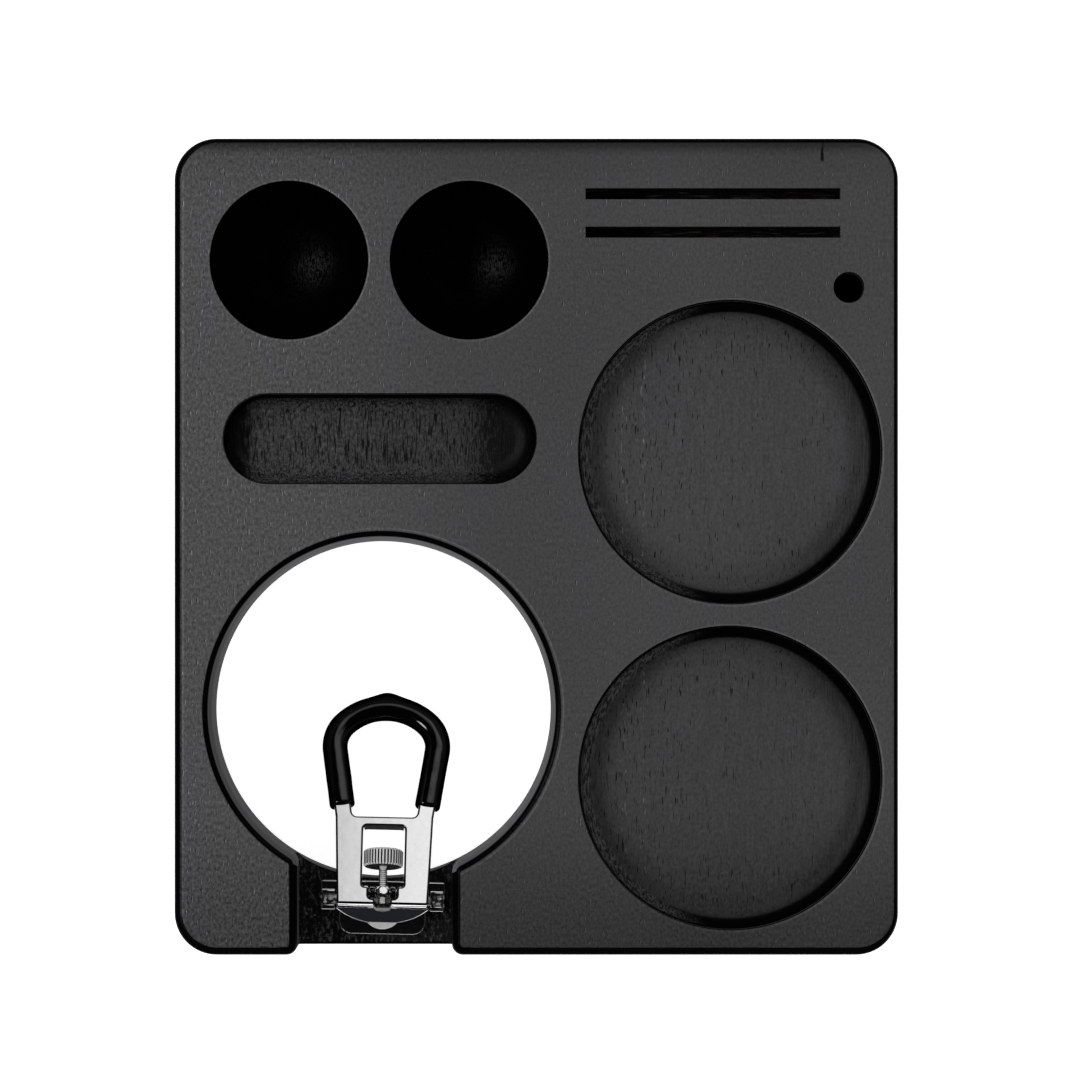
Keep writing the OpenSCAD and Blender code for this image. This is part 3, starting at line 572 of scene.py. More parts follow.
# Painted shade towards the oblong pocket's ends, with a ragged edge
oblong_ends = x.rise(oblong_right - 21, oblong_right - 3) + x.rise(oblong_left + 8.8, oblong_left + 1.8)
oblong_end_shade = (1.1 * oblong_ends + 1.6 * (torn - 0.5) + 1.4 * (peel - 0.5)).rise(0.35, 0.85) * in_oblong
crack_x, crack_front, crack_half = 57.3, rear - 4.8, 0.32
crack_wander = x - crack_x + 1.2 * (torn - 0.5)
crack = (abs(crack_wander).rise(crack_half, 0.18) * y.rise(crack_front, crack_front + 0.6)
         * (peel.rise(0.3, 0.5) + 0.4))

# How much painted sheen each face gets by its slope: 1 on level faces, 0 on the roundings, which
# stay black as painted shade. Faces that look to the right or the rear keep more of it, as
# painted light.
top_level = (slope[2] + 0.2 * (slope[0] + slope[1])).rise(0.93, 0.975)
ring_level = slope[2].rise(0.985, 0.999)
tray_level = 0.55 * slope[2].rise(0.82, 0.87) + 0.45 * slope[2].rise(0.85, 1.0)
oblong_lean = slope[2] + 0.45 * slope[1].rise(0.0, 0.5) + 0.25 * (torn - 0.5)
oblong_level = 0.45 * oblong_lean.rise(0.50, 0.64) + 0.55 * oblong_lean.rise(0.55, 1.0)
pocket_level = tray_level + (oblong_level - tray_level) * in_oblong
open_level = top_level + (ring_level - top_level) * at_ring
level = open_level + (pocket_level - open_level) * in_pocket


def rim_highlight(centre, radius):
    """A painted highlight round the rim of a pocket, brightest at its right."""
    across, along = x - in_mm(centre[0]), y - in_mm(centre[1])
    away = from_centre(across, along)
    return (away.rise(radius, radius + 0.08) * away.rise(radius + 0.42, radius + 0.2)
            * (across * (1 / radius)).rise(-1.0, 1.0))


# Painted highlights round the rims of the trays, the bowls and the ring
tray_line_r, bowl_line_r = in_mm(tray_r) + 0.32, in_mm(bowl_r) + 0.18
painted_rim_highlights = (rim_highlight(rear_tray, tray_line_r) + rim_highlight(front_tray, tray_line_r)
             + rim_highlight(left_bowl, bowl_line_r) + rim_highlight(right_bowl, bowl_line_r)
             + rim_highlight(ring_centre, ring_rim_r - 0.02)) * z.rise(top - 0.2, top - 0.05)
# A painted highlight along the block's left edge
painted_rim_highlights = painted_rim_highlights + 0.5 * x.rise(2 - right, 1.8 - right) * x.rise(1.3 - right, 1.5 - right)
# The painted sheen of level faces, with grain, pores and the crack in it. It is stronger over the left third,
# and weaker towards the front, near the rear edge, in the oblong pocket and in the pockets at the front.
sheen_and_grain = (0.055 + 0.014 * left_third - 0.028 * y.rise(-46.0, -84.0)
          + 0.016 * (cloud - 0.5) + (0.075 + 0.12 * left_third) * (peel - 0.5))
sheen_and_grain = sheen_and_grain * (1 - 0.32 * in_oblong) * (1 - 0.12 * in_pocket * y.rise(-10.0, -20.0))
sheen_and_grain = sheen_and_grain * (0.06 + 0.94 * y.rise(rear, rear - 3.8)) * (1 - 0.12 * y.rise(70.0, 79.0))
# Painted shade on the trays' floors near their walls: most at the right, less at the left, and least at the
# front and the back
tray_shade = 0.25 + 0.6 * tray_across.rise(0.2, 0.7) + 0.4 * tray_across.rise(-0.3, -0.7)
tray_ring = to_tray_rim.rise(0.72, 0.93) * (0.5 + 0.5 * fibre.rise(0.35, 0.65))
sheen_and_grain = sheen_and_grain * (1 + 0.8 * painted_rim_highlights) * (1 - in_tray * tray_ring * tray_shade)
sheen_and_grain = sheen_and_grain * (1 + 0.6 * in_pocket * (fibre - 0.5)) * (1 + 2.2 * in_oblong * (peel - 0.5))
sheen_and_grain = sheen_and_grain * (1 - 0.93 * oblong_end_shade) * (1 - 0.97 * open_pores) * (1 + 1.6 * pore_highlights)
sheen_and_grain = sheen_and_grain * (1 - 0.7 * pore_shadows) * (1 - 0.9 * crack)

# The colour: the painted sheen on level faces near the top, painted light with torn grain on the
# trays' coves that look to the right, painted light on the ring's wall, a painted sheen in patches on
# the shelf, a grey on upright faces, and bare fibres that the saw left in the slots. Deep faces get
# none of the top's painted sheen and stay black, as painted shade.
# Painted light on the trays' coves that look to the right, with the torn grain's texture in it
tray_cove = (1 - level) * in_tray * slope[2].rise(0.25, 0.5)
torn_and_lit_cove = tray_cove * slope[0].rise(0.1, 0.4) * (0.25 + 1.2 * torn.rise(0.40, 0.64))
# Painted light on the ring's wall, lighter where it looks to the front and where it looks to the left
ring_wall_light = (0.045 + 0.02 * slope[2].rise(0.02, 0.2)
             + 0.09 * slope[1].rise(0.0, -1.0) + 0.07 * slope[0].rise(0.0, -1.0))
# A painted sheen in patches on the shelf's level face
shelf_grey = 0.05 * slope[2].rise(0.9, 0.97) * (peel + 0.4 * (torn - 0.5)).rise(0.50, 0.66)
shade = 0.0010 + sheen_and_grain * level * shallow + 0.042 * torn_and_lit_cove + on_shelf_face * shelf_grey
shade = shade + upright * (0.045 + 0.04 * (fibre - 0.5)) + ring_wall_shade * ring_wall_light
tint = wood.blend(band.rise(0.35, 0.65), (1.015, 0.995, 1.01), (0.985, 0.995, 1.045))
grey = wood.vector("MULTIPLY", wood.join(shade, shade, shade), tint)
# The block's colour: black staining with the painted sheen, painted light and painted shade in it
stain_and_sheen = wood.blend(in_slots * bare.rise(0.50, 0.72), grey, (0.13, 0.090, 0.062))
relief = (peel * 0.5 + fibre * (0.2 + 1.0 * in_pocket + 1.5 * upright)
          + on_shelf_face * torn * 4.0 + bowls * (torn * 2.0 + fine * 3.0))
steep = slope[2].rise(0.93, 0.75).most(at_ring * slope[2].rise(0.998, 0.98))
dull_edges = (0.88 - 0.43 * ring_wall_shade) * steep
dull_bowls = bowls * (0.6 * fine + 0.4 * torn).rise(0.46, 0.60)
wood_finish = wood.surface(
    Base_Color=stain_and_sheen,
    Roughness=(0.40 - 0.12 * bowls + 0.1 * fibre + 0.06 * in_pocket + 0.15 * upright
               - 0.2 * (1 - level) * (1 - in_pocket)),
    Specular_IOR_Level=0.35,
    matte=dull_edges.most(dull_bowls),
    Normal=wood.relief(relief, 0.05),
)
piece("wood_block_stained", bm, wood_finish, "station", ["wood_block"])


# Feet: four die-cut rubber discs stuck under the corners, hidden from above.
foot_r, foot_t, foot_inset = 7 * mm, 2 * mm, 14 * mm
rubber = Finish(bpy.data.materials.new("black_rubber"))
rubber_spot = rubber.place()
rubber_grit = rubber.grain(rubber_spot, (6, 6, 6), detail=3)
rubber_dust = rubber.grain(rubber_spot, (0.5, 0.5, 0.5), detail=3, shift=5.0)
rubber_finish = rubber.surface(
    Base_Color=rubber.blend(rubber_dust.rise(0.45, 0.8), (0.022, 0.022, 0.022), (0.045, 0.044, 0.042)),
    Roughness=0.72 + 0.15 * rubber_grit,
    Normal=rubber.relief(rubber_grit, 0.03),
)
for name, side_x, side_y in (("front_left", -1, -1), ("front_right", 1, -1),
                             ("rear_left", -1, 1), ("rear_right", 1, 1)):
    bm = bmesh.new()
    foot_spot = (side_x * (block_half.x - foot_inset), side_y * (block_half.y - foot_inset))
    foot_loop = arc(foot_spot, foot_r, 0, 360, 64)[:-1]
    foot_rows = rounding(bm, foot_loop, 0.15 * mm, foot_t, 1, 3)
    foot_rows += rounding(bm, foot_loop, 0.35 * mm, 0.0, -1, 4)[::-1]
    loft(bm, foot_rows)
    bm.faces.new(foot_rows[0])
    bm.faces.new(foot_rows[-1])
    bmesh.ops.recalc_face_normals(bm, faces=bm.faces)
    piece(f"foot_{name}_pad", bm, rubber_finish, "station", [f"foot_{name}"])


# Bracket base: a chromed plate on the shelf, turned a little off square, with two ears that cradle
# the hinge pin and two lugs that hold the swivel nut. Measured in millimetres from under the pin.
on_shelf = (Matrix.Translation((ring_centre.x, -block_half.y + 10.54 * mm, shelf_z))
            @ Matrix.Rotation(math.radians(-1.3), 4, "Z") @ Matrix.Scale(mm, 4))
pin_height, pin_r = 6.0, 0.9
swivel_y, swivel_z = 1.63, 7.7
edgewise = Matrix(((0, 0, 1, 0), (1, 0, 0, 0), (0, 1, 0, 0), (0, 0, 0, 1)))


def rounded_outline(corners, steps=6, hole=False):
    """Loop through corners (x, y, radius), anticlockwise, with the direction out of the material."""
    loop = []
    for i, (cx, cy, r) in enumerate(corners):
        corner = Vector((cx, cy))
        came = (corner - Vector(corners[i - 1][:2])).normalized()
        goes = (Vector(corners[(i + 1) % len(corners)][:2]) - corner).normalized()
        turn = math.atan2(came.x * goes.y - came.y * goes.x, came.dot(goes))
        side = 1 if turn > 0 else -1
        inward = Vector((-came.y, came.x)) * side
        centre = corner - came * r * math.tan(abs(turn) / 2) + inward * r
        begin = math.atan2(-inward.y, -inward.x)
        look = -side if hole else side
        for k in range(steps + 1):
            t = begin + turn * k / steps
            loop.append((centre.x + r * math.cos(t), centre.y + r * math.sin(t),
                         look * math.cos(t), look * math.sin(t)))
    return loop


def slab(bm, loops, low, high, r_high, r_low, frame_of=None, steps=4):
    """A plate between two heights with an outline, perhaps holes, and rounded edges."""
    tops, lows, made = [], [], []
    for loop in loops:
        rows = rounding(bm, loop, r_high, high, 1, steps) + rounding(bm, loop, r_low, low, -1, steps)[::-1]
        loft(bm, rows)
        tops += edges_of(rows[0], bm)
        lows += edges_of(rows[-1], bm)
        made += [v for row in rows for v in row]
    for edges, up in ((tops, 1), (lows, -1)):
        for part in bmesh.ops.triangle_fill(bm, edges=edges, use_beauty=True, normal=(0, 0, up))["geom"]:
            if isinstance(part, bmesh.types.BMFace):
                part.smooth = False
    if frame_of:
        bmesh.ops.transform(bm, matrix=frame_of, verts=made)


def lathe(bm, profile, steps, frame_of=None, radius_at=None):
    """Turns a profile of (radius, height) round Z, with both ends closed."""
    made = []
    for r, h in profile:
        row = []
        for k in range(steps):
            t = 2 * math.pi * k / steps
            rr = radius_at(r, h, t) if radius_at else r
            row.append(bm.verts.new((rr * math.cos(t), rr * math.sin(t), h)))
        made.append(row)
    loft(bm, made)
    bm.faces.new(made[0])
    bm.faces.new(made[-1])
    if frame_of:
        bmesh.ops.transform(bm, matrix=frame_of, verts=[v for row in made for v in row])


def finished(bm, frame_of):
    """Sets a piece made in millimetres in its place."""
    bm.transform(frame_of)
    bmesh.ops.recalc_face_normals(bm, faces=bm.faces)
    return bm


chrome = Finish(bpy.data.materials.new("bright_chrome"))
chrome_spot = chrome.place()
chrome_swell = chrome.grain(chrome_spot, (0.35, 0.35, 0.35), detail=1)
chrome_haze = chrome.grain(chrome_spot, (1.4, 1.4, 1.4), detail=3, shift=4.0)
chrome_lines = chrome.grain(chrome_spot, (9, 0.7, 9), detail=2, shift=9.0)
chrome_across = chrome.axes(chrome_spot)[0] + 31.0
chrome_pillow = 1 - chrome_across * chrome_across * (1 / 90.0)
chrome_finish = chrome.surface(
    Base_Color=chrome.blend(chrome_haze, (0.87, 0.87, 0.875), (0.81, 0.81, 0.82)),
    Metallic=1.0,
    Roughness=0.035 + 0.04 * chrome_haze.rise(0.45, 0.8),
    Normal=chrome.relief(5.0 * chrome_pillow + chrome_swell + 0.05 * chrome_lines, 0.008),
)
bm = bmesh.new()
base_outline = rounded_outline([
    (-8.8, -6.9, 2.7), (8.8, -6.9, 2.7), (8.8, -2.05, 0.4), (12.55, -2.05, 0.4), (12.55, 3.75, 0.4),
    (-12.55, 3.75, 0.4), (-12.55, -2.05, 0.4), (-8.8, -2.05, 0.4)], 10)
base_t = 1.4
slab(bm, [base_outline], 0.0, base_t, 0.28, 0.1)
ear = rounded_outline([
    (-2.05, 0.5, 0.1), (2.05, 0.5, 0.1), (2.05, 6.55, 0.5), (0.92, 6.55, 0.4), (0.92, 5.08, 0.85),
    (-0.92, 5.08, 0.85), (-0.92, 6.55, 0.4), (-2.05, 6.55, 0.5)])
lug = rounded_outline([
    (0.2, 0.5, 0.1), (2.95, 0.5, 0.1), (2.6, 8.65, 0.93), (0.66, 8.65, 0.93), (0.2, 5.8, 1.0)], 8)
for ear_in, ear_out in ((9.6, 12.25), (-12.25, -9.6)):
    slab(bm, [ear], ear_in, ear_out, 0.12, 0.12, edgewise, 3)
# The lugs get the dark chrome below, which is painted shade
lug_faces = len(bm.faces)
for lug_in, lug_out in ((1.48, 2.63), (-2.63, -1.48)):
    slab(bm, [lug], lug_in, lug_out, 0.25, 0.25, edgewise, 4)
bm.faces.ensure_lookup_table()
for face in bm.faces[lug_faces:]:
    face.material_index = 1
# A dark chrome that is painted shade: on the lugs, on the arm's roundings and on its cup
shaded_chrome = Finish(bpy.data.materials.new("chrome_painted_shade"))
shaded_chrome_mottle = shaded_chrome.grain(shaded_chrome.place(), (1.6, 1.6, 1.6), detail=3)
shaded_chrome_finish = shaded_chrome.surface(
    Base_Color=shaded_chrome.blend(shaded_chrome_mottle, (0.05, 0.05, 0.053), (0.14, 0.14, 0.143)),
    Metallic=1.0,
    Roughness=0.10 + 0.08 * shaded_chrome_mottle,
)
piece("bracket_base_plated", finished(bm, on_shelf), [chrome_finish, shaded_chrome_finish], "station",
      ["bracket_base"], keep_large=False)


# Hinge pin: a cut length of steel wire laid in the ears and hammered over at both ends, which left
# its visible ends rough.
steel = Finish(bpy.data.materials.new("hammered_steel"))
steel_spot = steel.place()
steel_dents = steel.grain(steel_spot, (2.2, 2.2, 2.2), detail=3, rough=0.65)
steel_grime = steel.grain(steel_spot, (1.1, 1.1, 1.1), detail=2, shift=2.0)
steel_finish = steel.surface(
    Base_Color=steel.blend(steel_grime.rise(0.44, 0.58), (0.03, 0.03, 0.032), (0.86, 0.86, 0.87)),
    Metallic=0.6,
    Roughness=0.08 + 0.14 * steel_grime.rise(0.6, 0.35),
    Normal=steel.relief(steel_dents, 0.4),
)
pin_half, head_r, head_l, hammered_from, row_step = 12.55, 1.22, 0.33, 9.6, 0.12
bm = bmesh.new()
pin_profile = [(0.5, -pin_half), (head_r - 0.25, 0.05 - pin_half), (head_r, 0.17 - pin_half),
               (head_r, 0.27 - pin_half), (pin_r, head_l - pin_half)]
pin_profile += [(pin_r, head_l - pin_half + row_step * k) for k in range(1, 22)]
pin_profile += [(pin_r, 0.1 - hammered_from), (pin_r, 0)]
pin_profile += [(r, -h) for r, h in pin_profile[-2::-1]]


def hammered(r, h, t):
    """Radius of the pin at a height and a turn, with the dents of its two visible ends."""
    dent = noise.noise(Vector((math.cos(t) * 1.3, math.sin(t) * 1.3, h * 1.5)))
    return r - (0.1 * abs(dent) if abs(h) > hammered_from else 0.0)


lathe(bm, pin_profile, 28, edgewise, hammered)
pin_frame = on_shelf @ Matrix.Translation((0, 0, pin_height))
piece("hinge_pin_hammered", finished(bm, pin_frame), steel_finish, "station", ["hinge_pin"])


# Base screws: four small countersunk wood screws that hold the base plate, out of sight under the
# arm. Their solids have the true form and only get their finish, a dull zinc plating.
screw_steel = Finish(bpy.data.materials.new("plated_screws"))
screw_spot = screw_steel.place()
screw_haze = screw_steel.grain(screw_spot, (3, 3, 3), detail=3)
screw_finish = screw_steel.surface(
    Base_Color=screw_steel.blend(screw_haze, (0.5, 0.5, 0.51), (0.72, 0.72, 0.73)),
    Metallic=1.0,
    Roughness=0.25 + 0.2 * screw_haze,
    Normal=screw_steel.relief(screw_haze, 0.02),
)
base_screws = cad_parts["base_screws"]
base_screws.data.materials.clear()
base_screws.data.materials.append(screw_finish)


# Arm: one polished and chromed casting of plate, prongs, arch, hinge barrel, bent nose and thumb
# lip. It hangs on the pin with its loop end down. Its roundings and the cup get a dark chrome as
# painted shade, and the lip is worn by the thumb.
arm_tilt = 22
on_arm = (on_shelf @ Matrix.Translation((0, 0, pin_height))
          @ Matrix.Rotation(math.radians(-arm_tilt), 4, "X"))
plate_low, plate_high, plate_front = 0.3, 3.0, -1.92
fork_y, strip_half, lean = 17.0, 1.7, 8.2
shoulder_x, shoulder_r, widest, crown_r = 3.46, 6.9, 32.6, 11.876
arch_rise = 8.3
crown_y = widest + arch_rise - crown_r
crown_turn = math.degrees(math.atan2(widest - crown_y, shoulder_x))
prong_top = widest - shoulder_r * math.sin(math.radians(lean))
lean_share = math.tan(math.radians(lean))
foot_x = shoulder_x + shoulder_r * math.cos(math.radians(lean)) - (prong_top - fork_y) * lean_share


def loop_line(start_y, straight_steps=10, shoulder_steps=20, crown_steps=16):
    """Middle line of the loop from the right prong over the arch to the left: place and direction."""
    half = []
    for i in range(straight_steps):
        along = start_y + (prong_top - start_y) * i / straight_steps
        half.append((foot_x + (along - fork_y) * lean_share, along, 90 - lean))
    for i in range(shoulder_steps):
        turn = -lean + (crown_turn + lean) * i / shoulder_steps
        half.append((shoulder_x + shoulder_r * math.cos(math.radians(turn)),
                     widest + shoulder_r * math.sin(math.radians(turn)), turn + 90))
    for i in range(crown_steps + 1):
        turn = crown_turn + (90 - crown_turn) * i / crown_steps
        half.append((crown_r * math.cos(math.radians(turn)),
                     crown_y + crown_r * math.sin(math.radians(turn)), turn + 90))
    return half + [(-px, py, 360 - pd) for px, py, pd in half[-2::-1]]


def beside(line, distance):
    """Loop points beside the middle line, positive to the outside, with the direction away from it."""
    side = 1 if distance > 0 else -1
    return [(px + distance * math.sin(math.radians(pd)), py - distance * math.cos(math.radians(pd)),
             side * math.sin(math.radians(pd)), -side * math.cos(math.radians(pd))) for px, py, pd in line]


# The window round the knob narrows to the front, and its mouth is closed by the cup alone
window = [(4.2, 15, 0.8), (4.2, 1.85, 0.5), (2.9, 1.85, 0.43), (2.9, -0.75, 0.7), (1.55, -0.75, 0.43),
          (1.55, plate_front, 0.43)]
window = [(-px, py, r) for px, py, r in window[::-1]] + window
front_half, front_corner_r, corner_steps = 9.2, 0.45, 6
waist_half, waist_y, waist_look = 9.5, 6.2, (0.999, -0.037)
front_outline = rounded_outline(
    [(-front_half, plate_front, front_corner_r)] + window + [
        (front_half, plate_front, front_corner_r), (waist_half, waist_y, 1), (-waist_half, waist_y, 1)],
    corner_steps)
front_points = (corner_steps + 1) * (len(window) + 2)
arm_outline = (front_outline[:front_points] + [(waist_half, waist_y, *waist_look)]
               + beside(loop_line(fork_y), strip_half)
               + [(-waist_half, waist_y, -waist_look[0], waist_look[1])])
fork_half, fork_corner_r, fork_steps = foot_x - strip_half / math.cos(math.radians(lean)), 1.1, 8
fork_reach = 10
wide_half = fork_half + fork_reach * lean_share
fork_outline = rounded_outline([
    (-fork_half, fork_y, fork_corner_r), (fork_half, fork_y, fork_corner_r),
    (wide_half, fork_y + fork_reach, 1), (-wide_half, fork_y + fork_reach, 1)], fork_steps, hole=True)
fork_points = 2 * (fork_steps + 1)
loop_hole = fork_outline[:fork_points] + beside(loop_line(fork_y + 1.6), -strip_half)
bm = bmesh.new()
slab(bm, [arm_outline, loop_hole], plate_low, plate_high, 0.42, 0.3, None, 6)
# The roundings of the plate and of the loop get the dark chrome, as painted shade
for face in bm.faces:
    face.normal_update()
    if face.smooth and abs(face.normal.z) > 0.3:
        face.material_index = 1
barrel_r, barrel_bevel = 1.75, 0.2
for inner, outer in ((2.95, front_half), (-front_half, -2.95)):
    barrel = [(barrel_r - barrel_bevel, inner), (barrel_r, inner + barrel_bevel),
              (barrel_r, outer - barrel_bevel), (barrel_r - barrel_bevel, outer)]
    lathe(bm, barrel, 40, edgewise)
nose_half, nose_l, nose_t, nose_bend = 9.6, 5.4, 1.1, math.radians(74)
nose_root = plate_low + 0.2
nose_r = (nose_half ** 2 + nose_l ** 2) / (2 * nose_l)
nose_turn = math.degrees(math.asin(nose_half / nose_r))
nose = arc((0, nose_r - nose_l), nose_r, 270 - nose_turn, 270 + nose_turn, 48)
nose = nose[1:-1] + [(9.1, 0.35, 0.7, 0.7), (-9.1, 0.35, -0.7, 0.7)]
nose_frame = Matrix.Translation((0, plate_front, nose_root)) @ Matrix.Rotation(nose_bend, 4, "X")
slab(bm, [nose], -nose_t, 0.0, 0.32, 0.3, nose_frame, 5)
lip_half, lip_reach, lip_t, lip_bend = 2.9, 1.3, 0.7, math.radians(38)
lip_r = (lip_half ** 2 + lip_reach ** 2) / (2 * lip_reach)
lip_turn = math.degrees(math.asin(lip_half / lip_r))
lip_y = plate_front - nose_l * math.cos(nose_bend)
lip_z = nose_root - nose_l * math.sin(nose_bend) + 0.55
lip = arc((0, lip_r - lip_reach), lip_r, 270 - lip_turn, 270 + lip_turn, 20)
lip += [(lip_half, 0.35, 0.7, 0.7), (-lip_half, 0.35, -0.7, 0.7)]
lip_frame = Matrix.Translation((0, lip_y, lip_z)) @ Matrix.Rotation(lip_bend, 4, "X")
lip_faces = len(bm.faces)
slab(bm, [lip], -lip_t, 0.0, 0.3, 0.2, lip_frame, 5)
bm.faces.ensure_lookup_table()
for face in bm.faces[lip_faces:]:
    face.material_index = 2
worn = Finish(bpy.data.materials.new("thumb_worn_chrome"))
worn_haze = worn.grain(worn.place(), (1.8, 1.8, 1.8), detail=3)
worn_finish = worn.surface(
    Base_Color=worn.blend(worn_haze, (0.84, 0.84, 0.84), (0.62, 0.62, 0.62)),
    Metallic=0.3,
    Roughness=0.22 + 0.15 * worn_haze,
)
cup_y, cup_z, cup_r, cup_wall_t, cup_l = -1.4, 1.69, 1.24, 0.5, 1.02
cup_faces = len(bm.faces)
cup_wall = arc((0, 0), cup_r + cup_wall_t, -205, 25, 30) + arc((0, 0), cup_r, 25, -205, 30, hollow=True)
cup_frame = Matrix.Translation((0, cup_y, cup_z)) @ Matrix.Rotation(math.radians(90), 4, "X")
slab(bm, [cup_wall], 0.0, cup_l, 0.15, 0.1, cup_frame, 3)
cup_floor = arc((0, 0), cup_r + 0.25, -190, 10, 24)
slab(bm, [cup_floor], 0.75, 1.0, 0.08, 0.05, cup_frame, 2)
# The cup gets the dark chrome, as painted shade
bm.faces.ensure_lookup_table()
for face in bm.faces[cup_faces:]:
    face.material_index = 1
piece("arm_plated", finished(bm, on_arm), [chrome_finish, shaded_chrome_finish, worn_finish], "rest_arm", ["arm"],
      keep_large=False)


# Loop coat: black vinyl that the prongs and the arch were dipped in. It is thick and glossy, ends in
# soft lips on the prongs, and hardened with a drip at the tip.
vinyl = Finish(bpy.data.materials.new("dipped_vinyl"))
vinyl_spot = vinyl.place()
vinyl_swell = vinyl.grain(vinyl_spot, (0.3, 0.3, 0.3), detail=1)
vinyl_dust = vinyl.grain(vinyl_spot, (2.5, 2.5, 2.5), detail=3, shift=6.0)
vinyl_slope = vinyl.axes(vinyl.add("ShaderNodeNewGeometry", out="Normal"))
vinyl_finish = vinyl.surface(
    matte=vinyl_slope[2].rise(0.84, 0.68),
    Base_Color=vinyl.blend(vinyl_dust.rise(0.6, 0.85), (0.0006, 0.0006, 0.0009), (0.003, 0.003, 0.0034)),
    Roughness=0.06 + 0.05 * vinyl_dust,
    IOR=1.55,
    Normal=vinyl.relief(vinyl_swell + 0.04 * vinyl_dust, 0.05),
)
coat_half_w, coat_half_h, coat_mid = 2.55, 2.2, 1.65
coat_round, coat_sides = 0.86, 48
coat_start, drip_h, drip_half = 19.4, 0.7, 1.9
coat_line = loop_line(coat_start, 24, 28, 22)
bm = bmesh.new()
coat_rows = []
coat_ends = [(0.0, 0.70), (0.0, 0.82), (0.08, 0.90), (0.22, 0.96), (0.45, 0.99), (0.8, 1.0)]


def coat_row(px, py, pd, share):
    """One section of the coat: an oval between round and square, square to the loop's line."""
    row = []
    for k in range(coat_sides):
        t = 2 * math.pi * k / coat_sides
        c, s = math.cos(t), math.sin(t)
        q = 1 / (abs(c) ** (2 / coat_round) + abs(s) ** (2 / coat_round)) ** (coat_round / 2)
        drip = drip_h * math.exp(-(px / drip_half) ** 2) if py > widest and c > 0 else 0.0
        swell = 0.05 * noise.noise(Vector((px * 0.35, py * 0.35, 3 * s)))
        out = c * q * share * (coat_half_w + drip + swell)
        row.append(bm.verts.new((px + out * math.sin(math.radians(pd)),
                                 py - out * math.cos(math.radians(pd)),
                                 coat_mid + s * q * share * (coat_half_h + swell))))
    return row


def ahead(point, distance):
    """The loop's point moved on along its own direction."""
    return (point[0] + distance * math.cos(math.radians(point[2])),
            point[1] + distance * math.sin(math.radians(point[2])), point[2])


for along, share in coat_ends:
    coat_rows.append(coat_row(*ahead(coat_line[0], along), share))
for point in coat_line[1:-1]:
    coat_rows.append(coat_row(*point, 1.0))
for along, share in coat_ends[::-1]:
    coat_rows.append(coat_row(*ahead(coat_line[-1], -along), share))
loft(bm, coat_rows)
bm.faces.new(coat_rows[0])
bm.faces.new(coat_rows[-1])
piece("loop_coat_dipped", finished(bm, on_arm), vinyl_finish, "rest_arm", ["loop_coat"], 60)


# Swivel nut: a turned steel ball with a cross pin, threaded for the thumb screw, that tilts between
# the lugs. A flat is worn on its upper side, where it catches the light.
screw_slope = 11
on_screw = (on_shelf @ Matrix.Translation((0, swivel_y, swivel_z))
            @ Matrix.Rotation(math.radians(90 - screw_slope), 4, "X"))
nut_r, bore_r, flat_at, nut_sides = 1.45, 0.92, 1.2, 80
cross_pin_r, cross_pin_in, cross_pin_out = 0.5, 1.2, 2.75
bm = bmesh.new()
bore_turn = math.asin(bore_r / nut_r)
nut_rows = []
nut_profile = [(nut_r * math.sin(a), nut_r * math.cos(a))
               for a in (bore_turn + (math.pi - 2 * bore_turn) * k / 40 for k in range(41))]
nut_profile += [(bore_r, nut_profile[-1][1] * (1 - 2 * k / 4)) for k in range(1, 4)]
nut_flat = (on_screw.to_3x3().inverted() @ Vector((0.166, 0.398, 0.902))).normalized()
nut_turns = [2 * math.pi * k / nut_sides for k in range(nut_sides)]
for r, h in nut_profile:
    row = [Vector((r * math.cos(t), r * math.sin(t), h)) for t in nut_turns]
    nut_rows.append([bm.verts.new(v - nut_flat * max(0.0, v.dot(nut_flat) - flat_at)) for v in row])
loft(bm, nut_rows + [nut_rows[0]])
for inner, outer in ((cross_pin_in, cross_pin_out), (-cross_pin_out, -cross_pin_in)):
    lathe(bm, [(cross_pin_r, inner), (cross_pin_r, outer)], 24, edgewise)
turned = Finish(bpy.data.materials.new("turned_steel"))
turned_haze = turned.grain(turned.place(), (2.0, 2.0, 2.0), detail=2)
turned_finish = turned.surface(
    Base_Color=turned.blend(turned_haze, (0.80, 0.80, 0.81), (0.74, 0.74, 0.75)),
    Metallic=1.0,
    Roughness=0.09 + 0.05 * turned_haze,
)
piece("swivel_nut_turned", finished(bm, on_screw), turned_finish, "nut", ["swivel_nut"],
      60, keep_large=False)


# Thumb screw: turned in one piece, with a straight-knurled knob, a thread and a blunt tip that
# pushes in the arm's cup.
knurl = Finish(bpy.data.materials.new("knurled_chrome"))
knurl_spot = knurl.place()
knurl_haze = knurl.grain(knurl_spot, (2.5, 2.5, 2.5), detail=3)
knurl_finish = knurl.surface(
    Base_Color=knurl.blend(knurl_haze, (0.86, 0.86, 0.85), (0.72, 0.72, 0.71)),
    Metallic=0.2,
    Roughness=0.16 + 0.1 * knurl_haze,
    Normal=knurl.relief(knurl_haze, 0.02),
)
thread_r, thread_pitch, thread_depth, tip_z = 0.9, 0.4, 0.16, 2.6
knob_r, knob_near, knob_far, ribs, rib_depth, groove_from = 4.0, -5.15, -8.65, 38, 0.3, 0.45
thread_start, thread_end, thread_step = knob_near + 0.45, tip_z - 0.3, 0.05
bm = bmesh.new()


def threaded(r, h, t):
    """Radius of the shaft at a height and a turn, with the thread's single start."""
    if h < thread_start + thread_step or h > thread_end:
        return r
    wave = (h / thread_pitch - t / (2 * math.pi)) % 1.0
    return r - thread_depth * abs(2 * wave - 1)


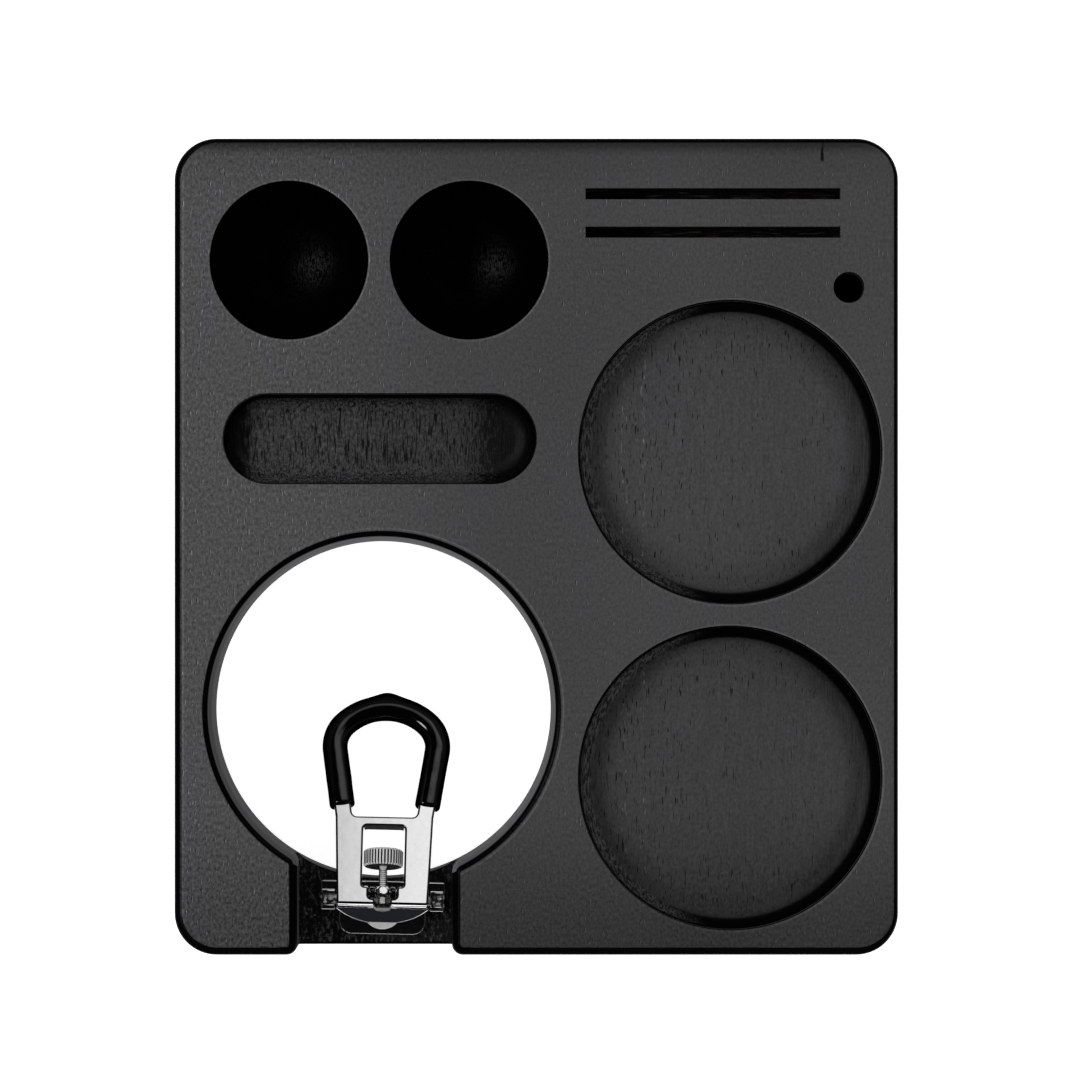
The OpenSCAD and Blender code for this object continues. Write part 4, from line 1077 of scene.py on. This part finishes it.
shaft = [(1.15, knob_near - 0.2), (1.15, knob_near + 0.25), (0.85, knob_near + 0.35)]
thread_rows = int((thread_end - thread_start) / thread_step)
shaft += [(thread_r, thread_start + thread_step * k) for k in range(thread_rows)]
shaft += [(thread_r - thread_depth, tip_z - 0.25), (0.55, tip_z - 0.03), (0.3, tip_z)]
lathe(bm, shaft, 36, None, threaded)


def knurled(r, h, t):
    """Radius of the knob at a turn: straight ribs with V grooves between them."""
    wave = abs(((t * ribs / (2 * math.pi)) % 1.0) * 2 - 1)
    groove = rib_depth * max(0.0, wave - groove_from) / (1 - groove_from)
    return r - groove if r > knob_r - 0.3 else r


knob = [(2.6, knob_far), (3.5, knob_far), (3.72, knob_far + 0.08), (knob_r, knob_far + 0.4),
        (knob_r, knob_near - 0.4), (3.72, knob_near - 0.08), (3.5, knob_near), (2.4, knob_near),
        (2.3, knob_near - 0.12), (1.2, knob_near - 0.12)]
lathe(bm, knob, ribs * 8, None, knurled)
# The knurl's grooves, the knob's inner face, the thread's roots and the shaft's left and right flanks get a
# near-black finish as painted shade
for face in bm.faces:
    middle = face.calc_center_median()
    around = math.hypot(middle.x, middle.y)
    if middle.z > knob_near:
        face.material_index = 1 if abs(middle.x) > 0.62 * around or around < thread_r - 0.12 else 0
    elif middle.z > knob_near - 0.3 and around < knob_r - 0.25:
        face.material_index = 1
    elif abs(middle.z - (knob_near + knob_far) / 2) < 1.5 and around < knob_r - 0.06:
        face.material_index = 1
# Near black, as painted shade in the grooves and on the flanks
groove = Finish(bpy.data.materials.new("knurl_grooves_painted_shade"))
groove_shade_mottle = groove.grain(groove.place(), (2.5, 2.5, 2.5), detail=3)
groove_shade_finish = groove.surface(
    Base_Color=groove.blend(groove_shade_mottle, (0.004, 0.004, 0.005), (0.02, 0.02, 0.019)),
    Roughness=0.35 + 0.2 * groove_shade_mottle,
    Specular_IOR_Level=0.2,
)
piece("thumb_screw_turned", finished(bm, on_screw), [knurl_finish, groove_shade_finish], "screw",
      ["thumb_screw"], 20)
